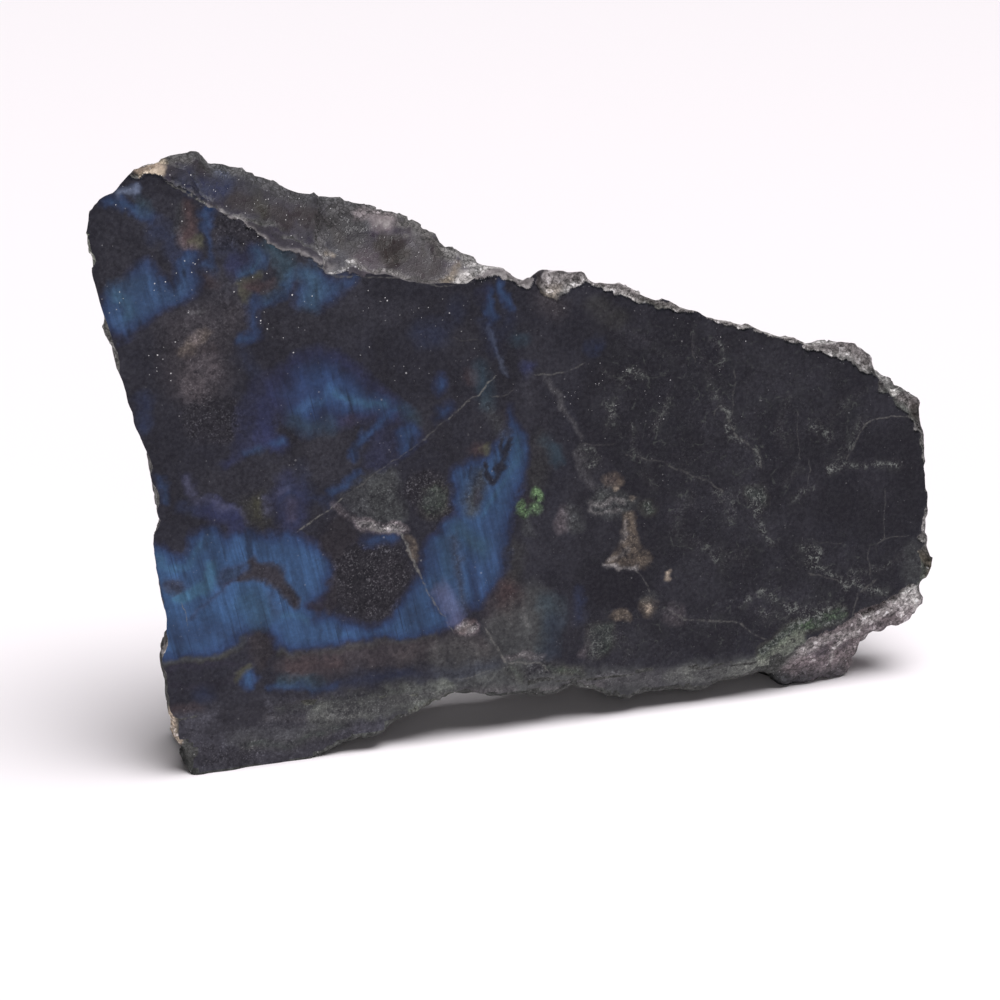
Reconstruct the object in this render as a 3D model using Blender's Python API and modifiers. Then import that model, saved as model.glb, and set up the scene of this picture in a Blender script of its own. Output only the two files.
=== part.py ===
"""A rough labradorite slab: one piece of stone, sawn and polished flat on one side and left broken on the
rest. It stands on its lower edge, on two feet with a low arch between them.

The model is in metres, +Z up, with the polished face towards -Y. The origin is the middle of the
bounding box, at the floor. Drawing sizes are in millimetres: x runs along the slab and z up from the
floor, on the plane of the polished face, and depth runs back from that plane.
"""

from math import atan2, cos, hypot, radians, sin

import bmesh
import bpy
from mathutils import Matrix, Vector, noise

NAME = "labradorite_slab"
MM = 0.001

# Driving sizes, in millimetres.
FOOT_DEPTH = 12.0          # thickness of the stone at the floor
TOP_THINNING = 0.085       # depth lost for each millimetre of height
RIGHT_THINNING = 0.018     # depth lost for each millimetre towards the right end
BACK_PIVOT_X = -10.0       # where along the slab the back's depth is FOOT_DEPTH at the floor
SAW_SPARE = 2.0            # stone in front of the polished face, taken off by the saw
BACK_SPARE = 2.0           # stone behind the thickest part, cut off with the back
CUT_REACH = 200.0          # sides of the blocks that cut whole faces, and their thickness
CUT_DEPTH = 60.0
VOXEL = 0.75               # cell of the mesh that carries the broken surface
TRIANGLE_SHARE = 0.19      # share of that mesh's triangles that is kept

# The broken outline, as (x, z), clockwise from the left tip.
TOP_RIM = (
    (-43.6, 59.6), (-42.9, 61.5), (-41.4, 62.7), (-39.0, 64.6), (-37.2, 65.6), (-35.0, 66.1),
    (-32.0, 66.5), (-29.4, 66.3), (-26.0, 65.7), (-22.8, 64.5), (-20.2, 63.2), (-15.1, 62.0),
    (-12.0, 61.1), (-8.0, 59.0), (-5.8, 57.8), (-4.4, 56.4), (-3.2, 55.1), (-1.9, 54.4), (-1.3, 53.0),
    (-0.2, 53.0), (0.9, 52.5), (2.2, 51.1), (3.6, 50.8), (4.6, 52.1), (6.6, 51.5), (9.0, 51.1),
    (11.8, 49.9), (14.6, 49.4), (16.6, 47.8), (20.0, 46.1), (24.0, 44.8), (27.8, 43.4), (31.6, 42.2),
    (35.2, 40.7), (38.2, 40.9), (41.4, 40.8), (43.8, 39.0), (45.0, 36.6), (46.2, 35.0), (47.6, 34.2),
)
RIGHT_END = (
    (48.9, 33.0), (49.3, 30.4), (50.3, 27.2), (51.1, 24.2), (51.6, 21.6), (51.0, 18.6), (50.4, 16.4),
    (51.2, 15.0), (51.6, 13.1), (51.0, 11.9), (49.6, 11.3), (50.7, 9.6), (50.8, 7.5), (48.8, 6.6),
    (46.0, 6.4), (44.9, 5.0), (44.6, 3.2), (44.4, 1.2),
)
UNDERSIDE = (
    (43.6, -0.5), (35.0, -0.5), (33.6, 0.9), (31.9, 2.2), (28.6, 1.9), (24.0, 1.1), (19.0, 1.3),
    (15.0, 2.0), (12.0, 3.1), (8.6, 4.1), (6.2, 4.1), (2.6, 4.6), (-2.5, 5.4), (-6.5, 5.3),
    (-9.2, 4.9), (-10.6, 3.6), (-14.0, 2.2), (-17.6, 1.6), (-19.4, 0.6), (-21.4, -0.5),
)
LEFT_END = (
    (-32.9, -0.5), (-34.6, 1.0), (-35.2, 3.0), (-36.5, 4.8), (-36.8, 7.6), (-37.2, 10.4),
    (-37.7, 13.5), (-36.7, 14.9), (-37.4, 19.6), (-38.3, 24.2), (-38.8, 26.9), (-37.2, 27.8),
    (-38.1, 33.2), (-39.2, 38.4), (-40.5, 44.0), (-42.0, 50.0), (-42.8, 55.4),
)
OUTLINE = TOP_RIM + RIGHT_END + UNDERSIDE + LEFT_END

# Flakes struck off the front. Each runs from one point of the polished face to another, and leans
# back from the face at an angle in degrees, on the side away from the middle of the slab.
FRONT_FLAKES = {
    "left_chip": ((-36.0, 65.0), (-19.2, 54.7), 27.0),
    "middle_chip": ((-18.2, 53.1), (-3.0, 50.2), 31.0),
    "left_toe_bevel": ((-40.0, 8.1), (-9.0, 6.9), 9.0),
    "arch_bevel": ((-12.0, 7.0), (31.5, 5.0), 15.0),
    "right_foot_break": ((29.6, 4.4), (50.5, 11.4), 20.0),
    "right_shoulder": ((43.6, 37.6), (52.0, 29.0), 40.0),
}
FLAKE_LENGTH_SPARE = 1.0   # how far a flake's cut runs on past its two points
FLAKE_SIZE = 40.0          # reach of a cutting block away from its plane
FLAKE_START = 8.0          # how far up the flake's plane its block starts, in front of the polished face
SLAB_MIDDLE = (5.0, 27.0)  # a point well inside the outline, as (x, z)

# Slabs split off the back, along the cleavage. Each is a point on the ledge's edge, the way that the
# edge runs, in degrees from +x, the depth that is lost, and the ledge's length and reach. What is
# lost lies on the left of the edge.
BACK_LEDGES = {
    "top_left_ledge": ((-27.0, 47.0), 158.0, 1.5, 34.0, 30.0),
    "top_middle_ledge": ((-6.0, 41.0), 158.0, 1.1, 24.0, 26.0),
    "top_right_ledge": ((27.0, 33.0), 158.0, 1.8, 62.0, 30.0),
    "left_side_ledge": ((-30.0, 21.0), 74.0, 1.6, 38.0, 20.0),
    "right_side_ledge": ((40.0, 18.0), 254.0, 2.1, 34.0, 20.0),
    "middle_ledge": ((9.0, 23.0), 248.0, 0.9, 19.0, 22.0),
    "arch_ledge": ((4.0, 12.5), -22.0, -1.3, 30.0, 9.0),
    "low_left_ledge": ((-15.0, 9.0), 248.0, 1.4, 16.0, 20.0),
}

# How far each end of the slab moves with depth: x per millimetre of depth.
LEFT_UNDERCUT = 0.40
LEFT_END_RUN = (-40.0, -24.0)      # the undercut fades out over these x
RIGHT_OVERHANG = 0.30
RIGHT_END_RUN = (38.0, 50.0)       # the overhang comes in over these x
OVERHANG_DEPTH = 5.0               # it grows down to this depth
OVERHANG_FOOT = (6.0, 16.0)        # it comes in over these heights
OVERHANG_HEAD = (24.0, 31.0)       # and fades out over these
RIM_DROP = 0.55            # fall of the top rim behind its crest, per millimetre of depth
CREST_DEPTH = 3.2          # how far back the crest of the top rim lies
RIM_RUN = (26.0, 48.0)     # the fall comes in over these heights

# The broken surface: flat cleavage facets in two sizes, each a length, a height of step and a slope,
# then grain as a height and a length. Lengths and heights are in millimetres.
LARGE_FACETS = (11.0, 0.80, 0.11)
SMALL_FACETS = (3.6, 0.28, 0.13)
GRAIN = (0.16, 1.2)
FACET_STRETCH = 1.9        # length of a facet over its width
CLEAVAGE_ANGLE = 22.0      # the way that facets lie, in degrees below +x
CALM_BEVEL = 0.18          # share of the roughness on the even bevels of the front
CALM_CHIP = 0.45           # share of the roughness on the steeper chips of the front
BEVEL_FACING = 0.93        # how squarely a surface faces front to count as a bevel, and as a chip
CHIP_FACING = 0.84
CALM_RUN = 0.6             # how far back from the polished face's plane the roughness sets in
HEIGHT_SCATTER = 17.3      # spreads the facets' middles, so that neighbours differ in height
SLOPE_SCATTER = 31.7       # and in slope
SLOPE_SHIFT = Vector((5.0, 9.0, 2.0))
STONE_COLOUR = (0.030, 0.031, 0.040, 1.0)


def clear_scene():
    for obj in list(bpy.data.objects):
        bpy.data.objects.remove(obj, do_unlink=True)


def new_collection(name):
    collection = bpy.data.collections.new(name)
    bpy.context.scene.collection.children.link(collection)
    return collection


def stone_material():
    material = bpy.data.materials.new("labradorite")
    material.use_nodes = True
    shader = material.node_tree.nodes["Principled BSDF"]
    shader.inputs["Base Color"].default_value = STONE_COLOUR
    shader.inputs["Roughness"].default_value = 0.25
    shader.inputs["Metallic"].default_value = 0.0
    return material


def back_depth(x, z):
    """Depth of the stone's main back face behind a point of the polished face, in millimetres."""
    return FOOT_DEPTH - TOP_THINNING * z - RIGHT_THINNING * (x - BACK_PIVOT_X)


def outline_plate(collection):
    """The slab's outline as a flat curve with thickness, standing up, and then as a closed mesh."""
    curve = bpy.data.curves.new("outline", "CURVE")
    curve.dimensions = "2D"
    curve.fill_mode = "BOTH"
    thickness = FOOT_DEPTH + SAW_SPARE + BACK_SPARE
    curve.extrude = 0.5 * thickness * MM
    spline = curve.splines.new("POLY")
    spline.points.add(len(OUTLINE) - 1)
    for point, (x, z) in zip(spline.points, OUTLINE):
        point.co = (x * MM, z * MM, 0.0, 1.0)
    spline.use_cyclic_u = True
    guide = bpy.data.objects.new("outline", curve)
    guide.rotation_euler = (radians(90.0), 0.0, 0.0)
    guide.location = (0.0, (0.5 * thickness - SAW_SPARE) * MM, 0.0)
    collection.objects.link(guide)
    bpy.context.view_layer.update()
    mesh = bpy.data.meshes.new_from_object(guide.evaluated_get(bpy.context.evaluated_depsgraph_get()))
    mesh.transform(guide.matrix_world)
    bm = bmesh.new()
    bm.from_mesh(mesh)
    bmesh.ops.remove_doubles(bm, verts=bm.verts, dist=1e-6)
    bmesh.ops.recalc_face_normals(bm, faces=bm.faces)
    bm.to_mesh(mesh)
    bm.free()
    bpy.data.objects.remove(guide, do_unlink=True)
    plate = bpy.data.objects.new(NAME, mesh)
    collection.objects.link(plate)
    return plate


def block(collection, name, size, matrix):
    """A cutting block: a unit cube scaled to size and placed by a matrix, both in millimetres."""
    bpy.ops.mesh.primitive_cube_add(size=1.0)
    cutter = bpy.context.active_object
    cutter.name = name
    cutter.data.transform(Matrix.Diagonal((*size, 1.0)))
    cutter.data.transform(matrix)
    cutter.data.transform(Matrix.Scale(MM, 4))
    for owner in list(cutter.users_collection):
        owner.objects.unlink(cutter)
    collection.objects.link(cutter)
    cutter.hide_render = True
    cutter.display_type = "WIRE"
    return cutter


def flake_block(collection, name, start, end, lean):
    """A block in front of a plane that leans back from the line start-end on the polished face."""
    (x0, z0), (x1, z1) = start, end
    length = hypot(x1 - x0, z1 - z0)
    along = Vector(((x1 - x0) / length, 0.0, (z1 - z0) / length))
    middle = Vector((0.5 * (x0 + x1), 0.0, 0.5 * (z0 + z1)))
    away = Vector((-along.z, 0.0, along.x))
    if away.dot(middle - Vector((SLAB_MIDDLE[0], 0.0, SLAB_MIDDLE[1]))) < 0.0:
        away = -away
    down_slope = away * cos(radians(lean)) + Vector((0.0, sin(radians(lean)), 0.0))
    outward = along.cross(down_slope)
    if outward.y > 0.0:
        along, outward = -along, -outward
    centre = middle + down_slope * (0.5 * FLAKE_SIZE - FLAKE_START) + outward * (0.5 * FLAKE_SIZE)
    turn = Matrix((along, down_slope, outward)).transposed().to_4x4()
    size = (length + 2.0 * FLAKE_LENGTH_SPARE, FLAKE_SIZE, FLAKE_SIZE)
    return block(collection, name, size, Matrix.Translation(centre) @ turn)


def ledge_block(collection, name, edge_point, edge_angle, lost_depth, length, reach):
    """A block that splits a slab off the back, on the left of the edge's direction."""
    x, z = edge_point
    angle = radians(edge_angle)
    along = Vector((cos(angle), 0.0, sin(angle)))
    normal = Vector((RIGHT_THINNING, 1.0, TOP_THINNING)).normalized()
    across = normal.cross(along).normalized()
    along = across.cross(normal)
    on_back = Vector((x, back_depth(x, z), z))
    centre = on_back - across * (0.5 * reach) + normal * (0.5 * reach - abs(lost_depth))
    turn = Matrix((along, across, normal)).transposed().to_4x4()
    return block(collection, name, (length, reach, reach), Matrix.Translation(centre) @ turn)


def back_block(collection):
    """Everything behind the main back face, which leans so that the slab is thinner at its top."""
    normal = Vector((RIGHT_THINNING, 1.0, TOP_THINNING)).normalized()
    x, z = SLAB_MIDDLE
    centre = Vector((x, back_depth(x, z), z)) + normal * (0.5 * CUT_DEPTH)
    turn = normal.to_track_quat("Z", "Y").to_matrix().to_4x4()
    return block(collection, "back_cut", (CUT_REACH, CUT_REACH, CUT_DEPTH), Matrix.Translation(centre) @ turn)


def cut(obj, cutter):
    modifier = obj.modifiers.new(cutter.name, "BOOLEAN")
    modifier.operation = "DIFFERENCE"
    modifier.solver = "EXACT"
    modifier.object = cutter


def evaluated_mesh(obj):
    bpy.context.view_layer.update()
    return bpy.data.meshes.new_from_object(obj.evaluated_get(bpy.context.evaluated_depsgraph_get()))


def keep_result(obj):
    """Apply all the modifiers of an object."""
    mesh = evaluated_mesh(obj)
    obj.modifiers.clear()
    obj.data = mesh


def ramp(value, low, high):
    return min(1.0, max(0.0, (value - low) / (high - low)))


def lean_ends(obj):
    """Undercut the left end, let the right end overhang, and drop the top rim behind its crest."""
    for vertex in obj.data.vertices:
        x, depth, z = vertex.co / MM
        back = max(0.0, depth)
        left = 1.0 - ramp(x, *LEFT_END_RUN)
        right = ramp(x, *RIGHT_END_RUN) * ramp(z, *OVERHANG_FOOT) * (1.0 - ramp(z, *OVERHANG_HEAD))
        top = ramp(z, *RIM_RUN)
        x += LEFT_UNDERCUT * back * left
        x += RIGHT_OVERHANG * min(back, OVERHANG_DEPTH) * right
        z -= RIM_DROP * max(0.0, back - CREST_DEPTH) * top
        vertex.co = Vector((x, depth, z)) * MM


def facet_height(point, facets):
    """Relief of flat facets at a point: each has its own height and slope, and they meet in steps."""
    length, step, slope = facets
    turn = Matrix.Rotation(radians(CLEAVAGE_ANGLE), 3, "Y")
    place = turn @ point
    place.x /= FACET_STRETCH
    centre = noise.voronoi(place / length)[1][0]
    own = noise.cell_vector(centre * HEIGHT_SCATTER)
    tilt = noise.cell_vector(centre * SLOPE_SCATTER + SLOPE_SHIFT)
    offset = place - centre * length
    return step * (own.x - 0.5) + slope * (offset.x * (tilt.x - 0.5) + offset.z * (tilt.z - 0.5)) * 2.0


def roughen(obj):
    """Give every surface behind the polished face its broken relief."""
    bm = bmesh.new()
    bm.from_mesh(obj.data)
    bm.normal_update()
    moves = []
    for vertex in bm.verts:
        point = vertex.co / MM
        height = facet_height(point, LARGE_FACETS) + facet_height(point, SMALL_FACETS)
        height += GRAIN[0] * noise.noise(point / GRAIN[1])
        if -vertex.normal.y > BEVEL_FACING:
            height *= CALM_BEVEL * ramp(point.y, 0.0, CALM_RUN)
        elif -vertex.normal.y > CHIP_FACING:
            height *= CALM_CHIP
        moves.append(vertex.normal * (height * MM))
    for vertex, move in zip(bm.verts, moves):
        vertex.co += move
    bm.to_mesh(obj.data)
    bm.free()


def stand_on_origin(obj):
    """Move the stone so that the middle of its box, at the floor, is the origin."""
    xs, ys, zs = zip(*(vertex.co for vertex in obj.data.vertices))
    middle = Vector((0.5 * (min(xs) + max(xs)), 0.5 * (min(ys) + max(ys)), min(zs)))
    obj.data.transform(Matrix.Translation(-middle))


def build_slab(parts, cutters):
    slab = outline_plate(parts)
    lean_ends(slab)
    cut(slab, back_block(cutters))
    for name, (start, end, lean) in FRONT_FLAKES.items():
        cut(slab, flake_block(cutters, name, start, end, lean))
    for name, ledge in BACK_LEDGES.items():
        cut(slab, ledge_block(cutters, name, *ledge))
    remesh = slab.modifiers.new("even_cells", "REMESH")
    remesh.mode = "VOXEL"
    remesh.voxel_size = VOXEL * MM
    keep_result(slab)
    roughen(slab)
    thin = slab.modifiers.new("fewer_triangles", "DECIMATE")
    thin.ratio = TRIANGLE_SHARE
    half = 0.5 * CUT_DEPTH
    in_front, below = Matrix.Translation((0.0, -half, 0.0)), Matrix.Translation((0.0, 0.0, -half))
    cut(slab, block(cutters, "saw_cut", (CUT_REACH, CUT_DEPTH, CUT_REACH), in_front))
    cut(slab, block(cutters, "floor_cut", (CUT_REACH, CUT_REACH, CUT_DEPTH), below))
    keep_result(slab)
    stand_on_origin(slab)
    slab.data.materials.clear()
    slab.data.materials.append(stone_material())
    return slab


def main():
    clear_scene()
    parts = new_collection("rough_labradorite")
    cutters = new_collection("cutters")
    build_slab(parts, cutters)


main()
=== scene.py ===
"""The looks of a rough labradorite slab: a dark stone, sawn and polished on its front, that flashes blue in
broken sheets, with a web of pale veins on its right half and a frosted, sugary crust on its broken rims.

Marks are laid out in drawing millimetres on the polished face: x runs along the slab and z up from the
floor. A mark on the broken front is laid out where it is seen from the slab's left and above.
"""

from itertools import product
from math import cos, pi, radians, sin

import bmesh
import bpy
import numpy as np
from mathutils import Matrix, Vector
from mathutils.geometry import delaunay_2d_cdt


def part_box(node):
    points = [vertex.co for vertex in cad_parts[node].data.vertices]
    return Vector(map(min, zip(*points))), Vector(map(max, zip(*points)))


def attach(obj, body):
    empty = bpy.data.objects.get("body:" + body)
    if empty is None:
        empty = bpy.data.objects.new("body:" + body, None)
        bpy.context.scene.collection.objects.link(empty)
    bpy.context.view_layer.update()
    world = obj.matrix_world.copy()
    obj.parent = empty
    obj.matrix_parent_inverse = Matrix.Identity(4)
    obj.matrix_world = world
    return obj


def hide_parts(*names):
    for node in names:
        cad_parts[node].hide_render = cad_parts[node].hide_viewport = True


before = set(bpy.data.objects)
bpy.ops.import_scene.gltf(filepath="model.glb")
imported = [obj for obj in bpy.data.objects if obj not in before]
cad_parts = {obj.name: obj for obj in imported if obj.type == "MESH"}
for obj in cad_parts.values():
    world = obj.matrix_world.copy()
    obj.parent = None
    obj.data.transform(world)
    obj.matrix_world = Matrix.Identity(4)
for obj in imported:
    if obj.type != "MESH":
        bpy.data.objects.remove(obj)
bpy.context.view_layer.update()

MM = 0.001
NODE = "labradorite_slab"
LOW, HIGH = (np.array(corner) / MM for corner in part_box(NODE))
FACE_Y = LOW[1]                  # plane of the polished face
DRAWING_X = LOW[0] + 42.8103     # the drawing's x = 0, from the slab's left end

# Where the broken front is seen from: x and z gained for each millimetre of depth, and the way there.
SEEN_LEFT = -0.364
SEEN_UP = 0.346
SIGHT_TURN = radians(-20.0)      # round from the front
SIGHT_TILT = radians(18.0)       # and up
SIGHT_WAY = (sin(SIGHT_TURN) * cos(SIGHT_TILT), -cos(SIGHT_TURN) * cos(SIGHT_TILT), sin(SIGHT_TILT))

# Mesh sizes, in millimetres.
SAW_SPARE = 1.5          # stone in front of the polished face while the skin is remeshed
FLOOR_SPARE = 1.0        # stone below the feet while the skin is remeshed
SKIN_CELL = 0.52         # cell of the broken skin
FACE_CELL = 0.19         # spacing of points where the polished face has most to show
ROW_RISE = 0.866         # rise of each row of an even triangular lattice
FACE_FINE_POINTS = 30000   # points spent on the marks' edges
EDGE_CLEARANCE = 0.14    # least distance of a point of the face from its edge

# --- markings ---

# Colours as linear light.
INK = (0.0006, 0.0006, 0.0014)
COAL = (0.0020, 0.0022, 0.0034)
NIGHT = (0.0058, 0.0062, 0.0092)
SOOT = (0.0070, 0.0062, 0.0072)
PLUM = (0.0125, 0.0090, 0.0185)
UMBER = (0.0140, 0.0104, 0.0094)
SLATE = (0.0215, 0.0215, 0.0265)
MOSS = (0.0230, 0.0230, 0.0150)
RUST = (0.0450, 0.0245, 0.0210)
BRONZE = (0.0360, 0.0285, 0.0290)
SMOKE = (0.0370, 0.0310, 0.0310)
SAGE = (0.0400, 0.0440, 0.0400)
ASH = (0.0700, 0.0680, 0.0700)
ROSE = (0.1350, 0.1120, 0.1180)
TAN = (0.1150, 0.0900, 0.0640)
GOLD = (0.0620, 0.0620, 0.0300)
GREEN = (0.0170, 0.0260, 0.0150)
FROSTED = (0.0480, 0.0510, 0.0480)
LEAF = (0.0560, 0.1000, 0.0420)
VIOLET = (0.0165, 0.0225, 0.0700)
DEEP = (0.0120, 0.0230, 0.0620)
COBALT = (0.0175, 0.0420, 0.1100)
AZURE = (0.0270, 0.0690, 0.1550)
CYAN = (0.0400, 0.1150, 0.1900)
TEAL = (0.0230, 0.0620, 0.0880)
FROST = (0.1600, 0.2000, 0.3000)
LILAC = (0.0900, 0.0950, 0.1700)
LICHEN = (0.1500, 0.1650, 0.1300)
CREAM = (0.3800, 0.3100, 0.2400)
CHALK = (0.2300, 0.2150, 0.2120)
WHITE = (0.6200, 0.6000, 0.5900)


def coat(*stops, flash=0.0, grain=0.0, web=0.0):
    """A mark's colours from its edge inwards, each as (distance in from the edge, colour, cover), then how
    far it flashes, how grainy it is and how much of the crackled web it carries, from 0 to 1."""
    return stops, flash, grain, web


def plain(colour, reach, rise, share, full, **effects):
    """A coat of one colour, from a reach outside the edge to a share at the rise and all of it at full."""
    return coat((-reach, colour, 0.0), (rise, colour, share), (full, colour, 1.0), **effects)


FINISHES = {
    "sheet": coat(
        (-0.55, VIOLET, 0.0), (0.0, DEEP, 0.55), (0.45, COBALT, 0.92), (1.3, AZURE, 1.0), flash=1.0),
    "glow": coat((-1.1, VIOLET, 0.0), (0.0, VIOLET, 0.5), (0.9, DEEP, 0.85), (2.4, COBALT, 1.0), flash=0.9),
    "azure": coat((-0.45, DEEP, 0.0), (0.05, COBALT, 0.75), (0.5, AZURE, 1.0), flash=1.0),
    "cyan": coat((-0.7, AZURE, 0.0), (0.0, AZURE, 0.6), (0.6, CYAN, 1.0), flash=1.0),
    "deep": plain(DEEP, 0.8, 0.1, 0.6, 0.8, flash=0.7),
    "violet": plain(VIOLET, 0.7, 0.1, 0.7, 0.6, flash=0.7),
    "teal": plain(TEAL, 0.8, 0.1, 0.6, 0.8, flash=0.7),
    "frost": coat((-0.35, COBALT, 0.0), (0.0, FROST, 0.6), (0.3, FROST, 1.0), flash=0.5),
    "lilac": coat((-0.6, VIOLET, 0.0), (0.0, LILAC, 0.6), (0.5, LILAC, 1.0), flash=0.7),
    "plum": coat((-0.45, PLUM, 0.0), (0.1, PLUM, 0.75), (0.5, NIGHT, 1.0), grain=0.1),
    "umber": coat((-0.35, PLUM, 0.0), (0.05, UMBER, 0.8), (0.5, UMBER, 1.0), grain=0.15),
    "ink": plain(INK, 0.22, 0.05, 0.9, 0.3),
    "soot": plain(SOOT, 0.5, 0.2, 0.9, 0.8, grain=1.0),
    "slate": plain(SLATE, 0.8, 0.3, 0.8, 1.2, grain=0.3),
    "smoke": plain(SMOKE, 1.2, 0.4, 0.7, 1.6, grain=0.5),
    "rose": plain(ROSE, 0.6, 0.3, 0.8, 1.0, grain=0.7),
    "moss": plain(MOSS, 0.8, 0.3, 0.8, 1.2, grain=0.35),
    "sage": plain(SAGE, 0.7, 0.3, 0.8, 1.0, grain=0.7),
    "rust": plain(RUST, 0.6, 0.1, 0.7, 0.6, flash=0.1, grain=0.1),
    "bronze": plain(BRONZE, 0.9, 0.3, 0.8, 1.0, flash=0.1, grain=0.1),
    "gold": plain(GOLD, 0.4, 0.05, 0.8, 0.4, flash=0.2),
    "tan": plain(TAN, 0.35, 0.1, 0.85, 0.5, grain=0.7),
    "leaf": plain(LEAF, 0.25, 0.05, 0.8, 0.3, grain=0.9),
    "ash": plain(ASH, 0.3, 0.05, 0.8, 0.4, grain=0.6),
    "lichen": plain(LICHEN, 0.35, 0.05, 0.8, 0.4, grain=0.7),
    "chalk": coat((-0.28, ASH, 0.0), (0.05, CHALK, 0.85), (0.35, CHALK, 1.0), grain=0.6),
    "cream": coat((-0.25, TAN, 0.0), (0.05, CREAM, 0.9), (0.35, CREAM, 1.0), grain=0.4),
    "white": coat((-0.18, CHALK, 0.0), (0.03, WHITE, 0.9), (0.25, WHITE, 1.0), grain=0.2),
    "web": coat((-1.5, COAL, 0.0), (0.8, COAL, 0.6), (2.5, COAL, 0.8), grain=0.3, web=0.4),
    "frostwork": plain(SOOT, 0.55, 0.0, 0.6, 0.5, grain=0.5, web=1.0),
    "leafwork": coat((-0.55, MOSS, 0.0), (0.0, MOSS, 0.6), (0.5, GREEN, 1.0), grain=0.6, web=1.0),
    "frosted": plain(FROSTED, 0.9, 0.2, 0.8, 1.0, grain=0.12),
    "sugar": coat((-0.3, ROSE, 0.0), (0.05, ROSE, 0.7), (0.4, CHALK, 0.85), grain=1.0),
    "calm": plain(COAL, 1.0, 0.6, 0.9, 1.5, web=0.06),
}


def oval(x, z, across, up, tilt=0.0, corners=10):
    """An oval outline from its middle, its two half widths and its tilt in degrees."""
    turn = radians(tilt)
    outline = []
    for step in range(corners):
        angle = 2.0 * pi * step / corners
        a, b = across * cos(angle), up * sin(angle)
        outline.append((x + a * cos(turn) - b * sin(turn), z + a * sin(turn) + b * cos(turn)))
    return outline


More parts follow.
